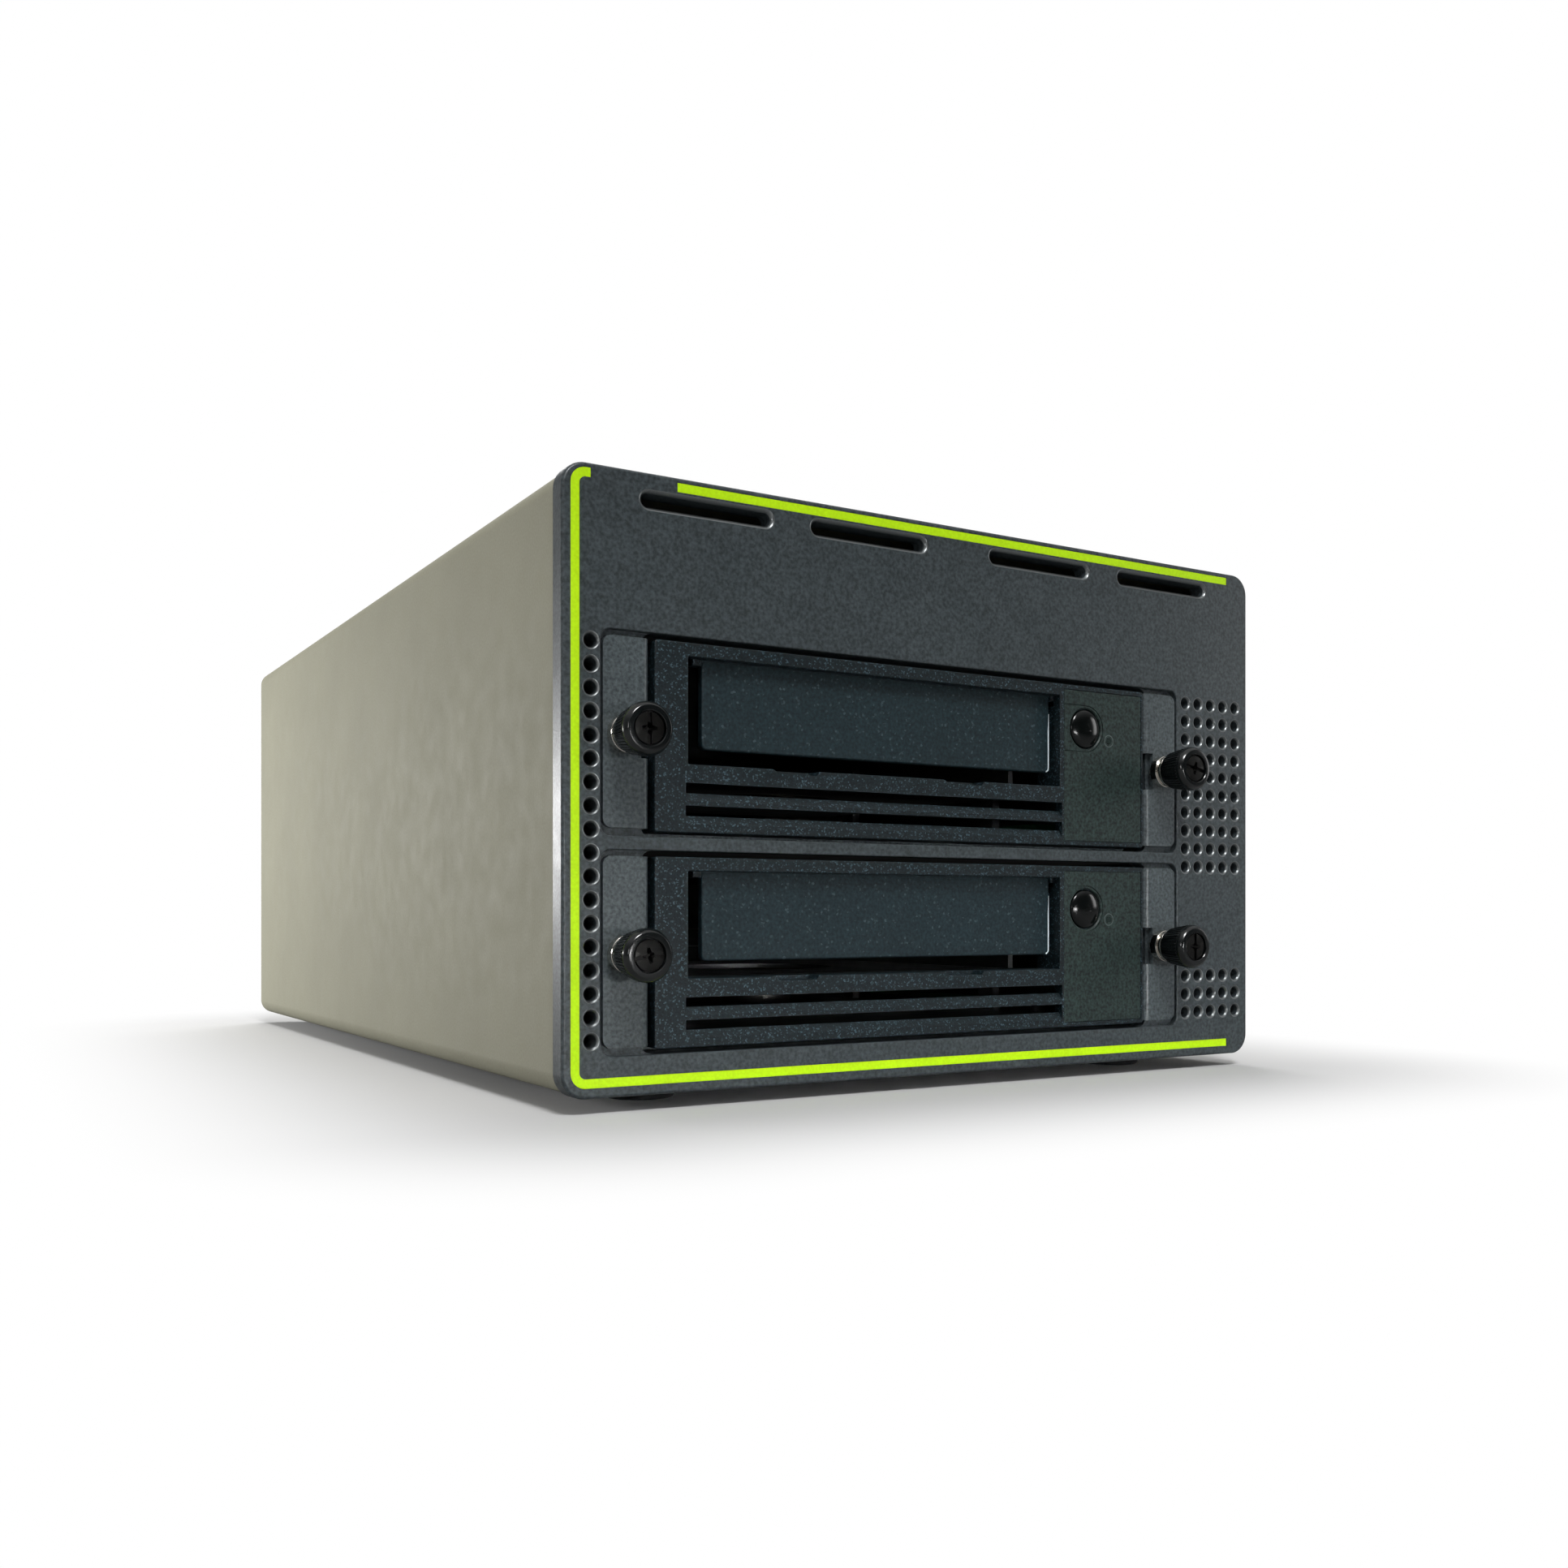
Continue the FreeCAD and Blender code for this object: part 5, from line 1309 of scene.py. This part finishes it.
    def _blade_slot(self, crown: float) -> Piece:
        """The cutter of the slot right across the head.

        Args:
            crown: How deep the front of the head lies.

        Returns:
            The cutter.
        """
        reach, half = self.head + 0.5, self.slot_half
        corners = ((-reach, -half), (reach, -half), (reach, half), (-reach, half))
        slot = Polygon(tuple(self._spot(*corner) for corner in corners))
        return plate("blade_slot", slot, crown - 0.5, crown + 0.6)

    def _cross(self, crown: float) -> Piece:
        """The cutter of a cross recess: four tapering arms.

        Args:
            crown: How deep the front of the head lies.

        Returns:
            The cutter.
        """
        x, z = self.centre
        half = self.slot_half
        arm = ((self.arm, -half * 0.8), (self.arm, half * 0.8), (half * 1.3, half * 1.3))
        corners = [self._spot(*corner, math.pi / 2 * turn) for turn in range(4) for corner in arm]
        return loft("cross", [[(x + (px - x) * scale, FRONT + crown + depth, z + (pz - z) * scale)
                               for px, pz in corners]
                              for depth, scale in ((-0.5, 1.1), (0.0, 1.0), (1.5, 0.45))])

    def _washer(self) -> None:
        """The thrust washer behind the knob."""
        wide, back, front = self.washer, self.washer_back, self.washer_front
        ring = [(self.bore, back), (wide - 0.2, back), (wide - 0.05, back - 0.08),
                (wide, back - 0.25), (wide, front + 0.25), (wide - 0.05, front + 0.08),
                (wide - 0.2, front), (self.bore, front), (self.bore, back)]
        washer = lathe(f"{self.place}_thrust_ring", ring, self.centre, 96)
        fit(smooth(washer), "bright_metal", f"{self.place}_washer", f"{self.place}_washer")


@dataclass
class Sled:
    """A drive's sled, its collars and what else shows of the drive when it is drawn out."""

    bay: str
    collar: float = 4.3
    neck: float = 3.8
    bore: float = 2.35
    seat: float = 3.15
    ear_face: float = 0.3
    ear_back: float = 1.45
    step: float = -1.9
    front: float = -2.98

    def build(self) -> None:
        """Breaks the edges of the sled's own pieces and dresses them."""
        body = f"{self.bay}_sled"
        for part, finish, width in (("sled", "sled_paint", 0.22), ("drive_lid", "lid_steel", 0.2)):
            node = f"{self.bay}_{part}"
            fit(softened(f"{node}_finished", node, width), finish, body, node)
        collars = [self._collar(side) for side in Side]
        fit(smooth(joined(f"{self.bay}_collars", collars)), "bright_metal", body,
            f"{self.bay}_ferrules")

    def _collar(self, side: Side) -> Piece:
        """The turned collar that is pressed into an ear and carries the screw.

        Args:
            side: The side of the bay.

        Returns:
            The collar.
        """
        wide, face, step, front = self.collar, self.ear_face, self.step, self.front
        profile = [
            (self.bore, self.ear_back), (self.seat, self.ear_back), (self.seat, face),
            (wide - 0.15, face), (wide, face - 0.15), (wide, step + 0.4),
            (wide - 0.06, step + 0.12), (wide - 0.2, step), (self.neck, step),
            (self.neck, front), (self.bore, front), (self.bore, self.ear_back),
        ]
        return lathe("collar", profile, Thumbscrew(self.bay, side).centre, 96)


@dataclass(frozen=True)
class Back:
    """What shows on the back of the case and under it, with its edges broken."""

    pieces: tuple[tuple[str, str, str, float], ...] = (
        ("rear_panel", "case_paint", "case", 0.12),
        ("fan_frame", "fan_plastic", "case", 0.3),
        ("power_inlet", "inlet_plastic", "case", 0.35),
        ("switch_frame", "inlet_plastic", "case", 0.3),
        ("switch_rocker", "rocker_plastic", "rocker", 0.25),
        ("case_screws", "screw_black", "case", 0.12),
        ("data_sockets", "bright_metal", "case", 0.06),
        ("base_pan", "plain_steel", "case", 0.15),
    )

    def build(self) -> None:
        """Breaks the edges of each piece and dresses it."""
        for node, finish, body, width in self.pieces:
            fit(softened(f"{node}_finished", node, width), finish, body, node)


# Studio


@dataclass(frozen=True)
class Lamp:
    """A soft lamp that looks at the object."""

    name: str
    place: Place
    size: Point
    power: float
    aim: Place = (0.0, 0.0, 0.07)
    spread: float = math.pi

    def build(self) -> None:
        """Puts the lamp in the scene."""
        data = bpy.data.lights.new(self.name, "AREA")
        data.shape = "RECTANGLE"
        data.size, data.size_y = self.size
        data.energy = self.power
        data.spread = self.spread
        lamp = placed(self.name, data)
        lamp.location = self.place
        aim = Vector(self.aim) - Vector(self.place)
        lamp.rotation_euler = aim.to_track_quat("-Z", "Y").to_euler()


@dataclass(frozen=True)
class Studio:
    """The floor, the lamps, the surroundings and the camera."""

    eye: Place = (-0.2225, -0.43825, 0.0433)
    yaw: float = math.atan2(0.5165, 0.8563)
    lens: float = 32.94
    shift_up: float = 0.0831
    footprint: Place = (0.105, 0.155, 0.0)
    floor_fade: float = 0.095
    floor_shade: float = 0.72
    floor_bounce: float = 0.3
    floor_half: float = 4000.0
    rear_glow: tuple[Point, Point] = ((-0.45, 0.35), (0.03, 0.25))
    top_glow: tuple[Point, Point] = ((0.35, 0.8), (0.0, 0.6))
    gloss_level: float = 0.12
    lamps: tuple[Lamp, ...] = (
        Lamp("key", (-0.28, -0.92, 1.08), (0.35, 0.35), 11.0),
        Lamp("left_front", (-1.2, -0.95, 0.3), (0.1, 0.3), 1.5),
        Lamp("side", (-0.44, 0.35, 0.1), (0.3, 0.06), 1.8),
        Lamp("right", (1.2, -0.7, 0.35), (0.3, 0.5), 1.6),
        Lamp("overhead", (0.35, 0.8, 1.2), (1.0, 1.0), 11.0),
        Lamp("low_front", (0.0, -0.75, 0.04), (0.35, 0.03), 0.1, (0.0, -0.155, -0.02),
             math.radians(36.0)),
    )

    def build(self) -> None:
        """Sets up everything round the object."""
        self._camera()
        self._floor()
        self._world()
        for lamp in self.lamps:
            lamp.build()

    def _camera(self) -> None:
        """The camera, at the place from which the object was seen."""
        data = bpy.data.cameras.new("camera")
        data.lens = self.lens
        data.sensor_width = 36.0
        data.shift_y = self.shift_up
        data.clip_start = 0.01
        camera = placed("camera", data)
        camera.location = self.eye
        camera.rotation_euler = (math.pi / 2, 0.0, -self.yaw)
        bpy.context.scene.camera = camera

    def _floor(self) -> None:
        """A plain pale floor that keeps the object's shadow and fades into the white."""
        half = self.floor_half
        floor = new_piece("floor", [(-half, -half, 0), (half, -half, 0), (half, half, 0),
                                    (-half, half, 0)], [(0, 1, 2, 3)])
        made = bpy.data.materials.new("floor_white")
        made.use_nodes = True
        graph = Graph(made.node_tree)
        camera = graph.add("ShaderNodeLightPath", {}, "Is Camera Ray")
        pale = graph.choice(camera, self.floor_bounce, self.floor_shade)
        tint = graph.add("ShaderNodeCombineColor", dict.fromkeys(("Red", "Green", "Blue"), pale),
                         "Color")
        surface = graph.find("BSDF_PRINCIPLED")
        graph.feed(surface, {"Roughness": 1.0, "Specular IOR Level": 0.0, "Base Color": tint})
        fade = graph.ramp(self._distance(graph), ((0.0, self.floor_fade), (0.0, 1.0)),
                          "SMOOTHSTEP")
        blend = graph.add("ShaderNodeMixShader", {
            "Fac": graph.choice(camera, 0.0, fade), 1: surface.outputs["BSDF"],
            2: graph.add("ShaderNodeEmission", {}, "Emission")}, "Shader")
        graph.feed(graph.find("OUTPUT_MATERIAL"), {"Surface": blend})
        floor.data.materials.append(made)

    def _distance(self, graph: Graph) -> Socket:
        """How far a point of the floor is from the object's footprint.

        Args:
            graph: The floor's nodes.

        Returns:
            The distance, in metres.
        """
        spot = graph.add("ShaderNodeTexCoord", {}, "Object")
        none = (0.0, 0.0, 0.0)
        for step, other in (("ABSOLUTE", none), ("SUBTRACT", self.footprint), ("MAXIMUM", none)):
            spot = graph.add("ShaderNodeVectorMath", {0: spot, 1: other}, "Vector", operation=step)
        return graph.add("ShaderNodeVectorMath", {0: spot}, "Value", operation="LENGTH")

    def _world(self) -> None:
        """White surroundings that light dark fronts little and show white behind the object."""
        world = bpy.data.worlds.new("surroundings")
        bpy.context.scene.world = world
        world.use_nodes = True
        graph = Graph(world.node_tree)
        spot = graph.add("ShaderNodeTexCoord", {}, "Generated")
        rear, above = (graph.ramp(graph.add("ShaderNodeSeparateXYZ", {"Vector": spot}, axis), glow)
                       for axis, glow in (("Y", self.rear_glow), ("Z", self.top_glow)))
        seen = graph.add("ShaderNodeMath", {0: rear, 1: above}, "Value", operation="MAXIMUM")
        glossy, camera = (graph.add("ShaderNodeLightPath", {}, f"Is {kind} Ray")
                          for kind in ("Glossy", "Camera"))
        level = graph.choice(camera, graph.choice(glossy, self.gloss_level, seen), 1.0)
        graph.feed(graph.find("BACKGROUND"), {"Color": (1.0, 1.0, 1.0, 1.0), "Strength": level})


def dress_nodes() -> None:
    """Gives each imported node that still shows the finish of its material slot."""
    for name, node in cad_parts.items():
        if node.hide_render or not node.data.materials:
            continue
        slot = node.data.materials[0].name.split(".")[0]
        if slot not in FINISHES:
            LOG.warning("%s has no finish for %s", name, slot)
            continue
        for number in range(len(node.data.materials)):
            node.data.materials[number] = FINISHES[slot].material()


def main() -> None:
    """Builds the object's looks in order."""
    logging.basicConfig(level=logging.INFO, format="%(message)s")
    bpy.context.scene.view_settings.view_transform = "Standard"
    assemblies: list[object] = [FrontPanel(), CaseCover(), Back()]
    for bay in BAY_FEET:
        assemblies += [Sled(bay), Bezel(bay)]
        assemblies += [Thumbscrew(bay, side) for side in Side]
    for assembly in assemblies:
        LOG.info("building %s", type(assembly).__name__)
        assembly.build()
    dress_nodes()
    Studio().build()


if __name__ == "__main__":
    main()
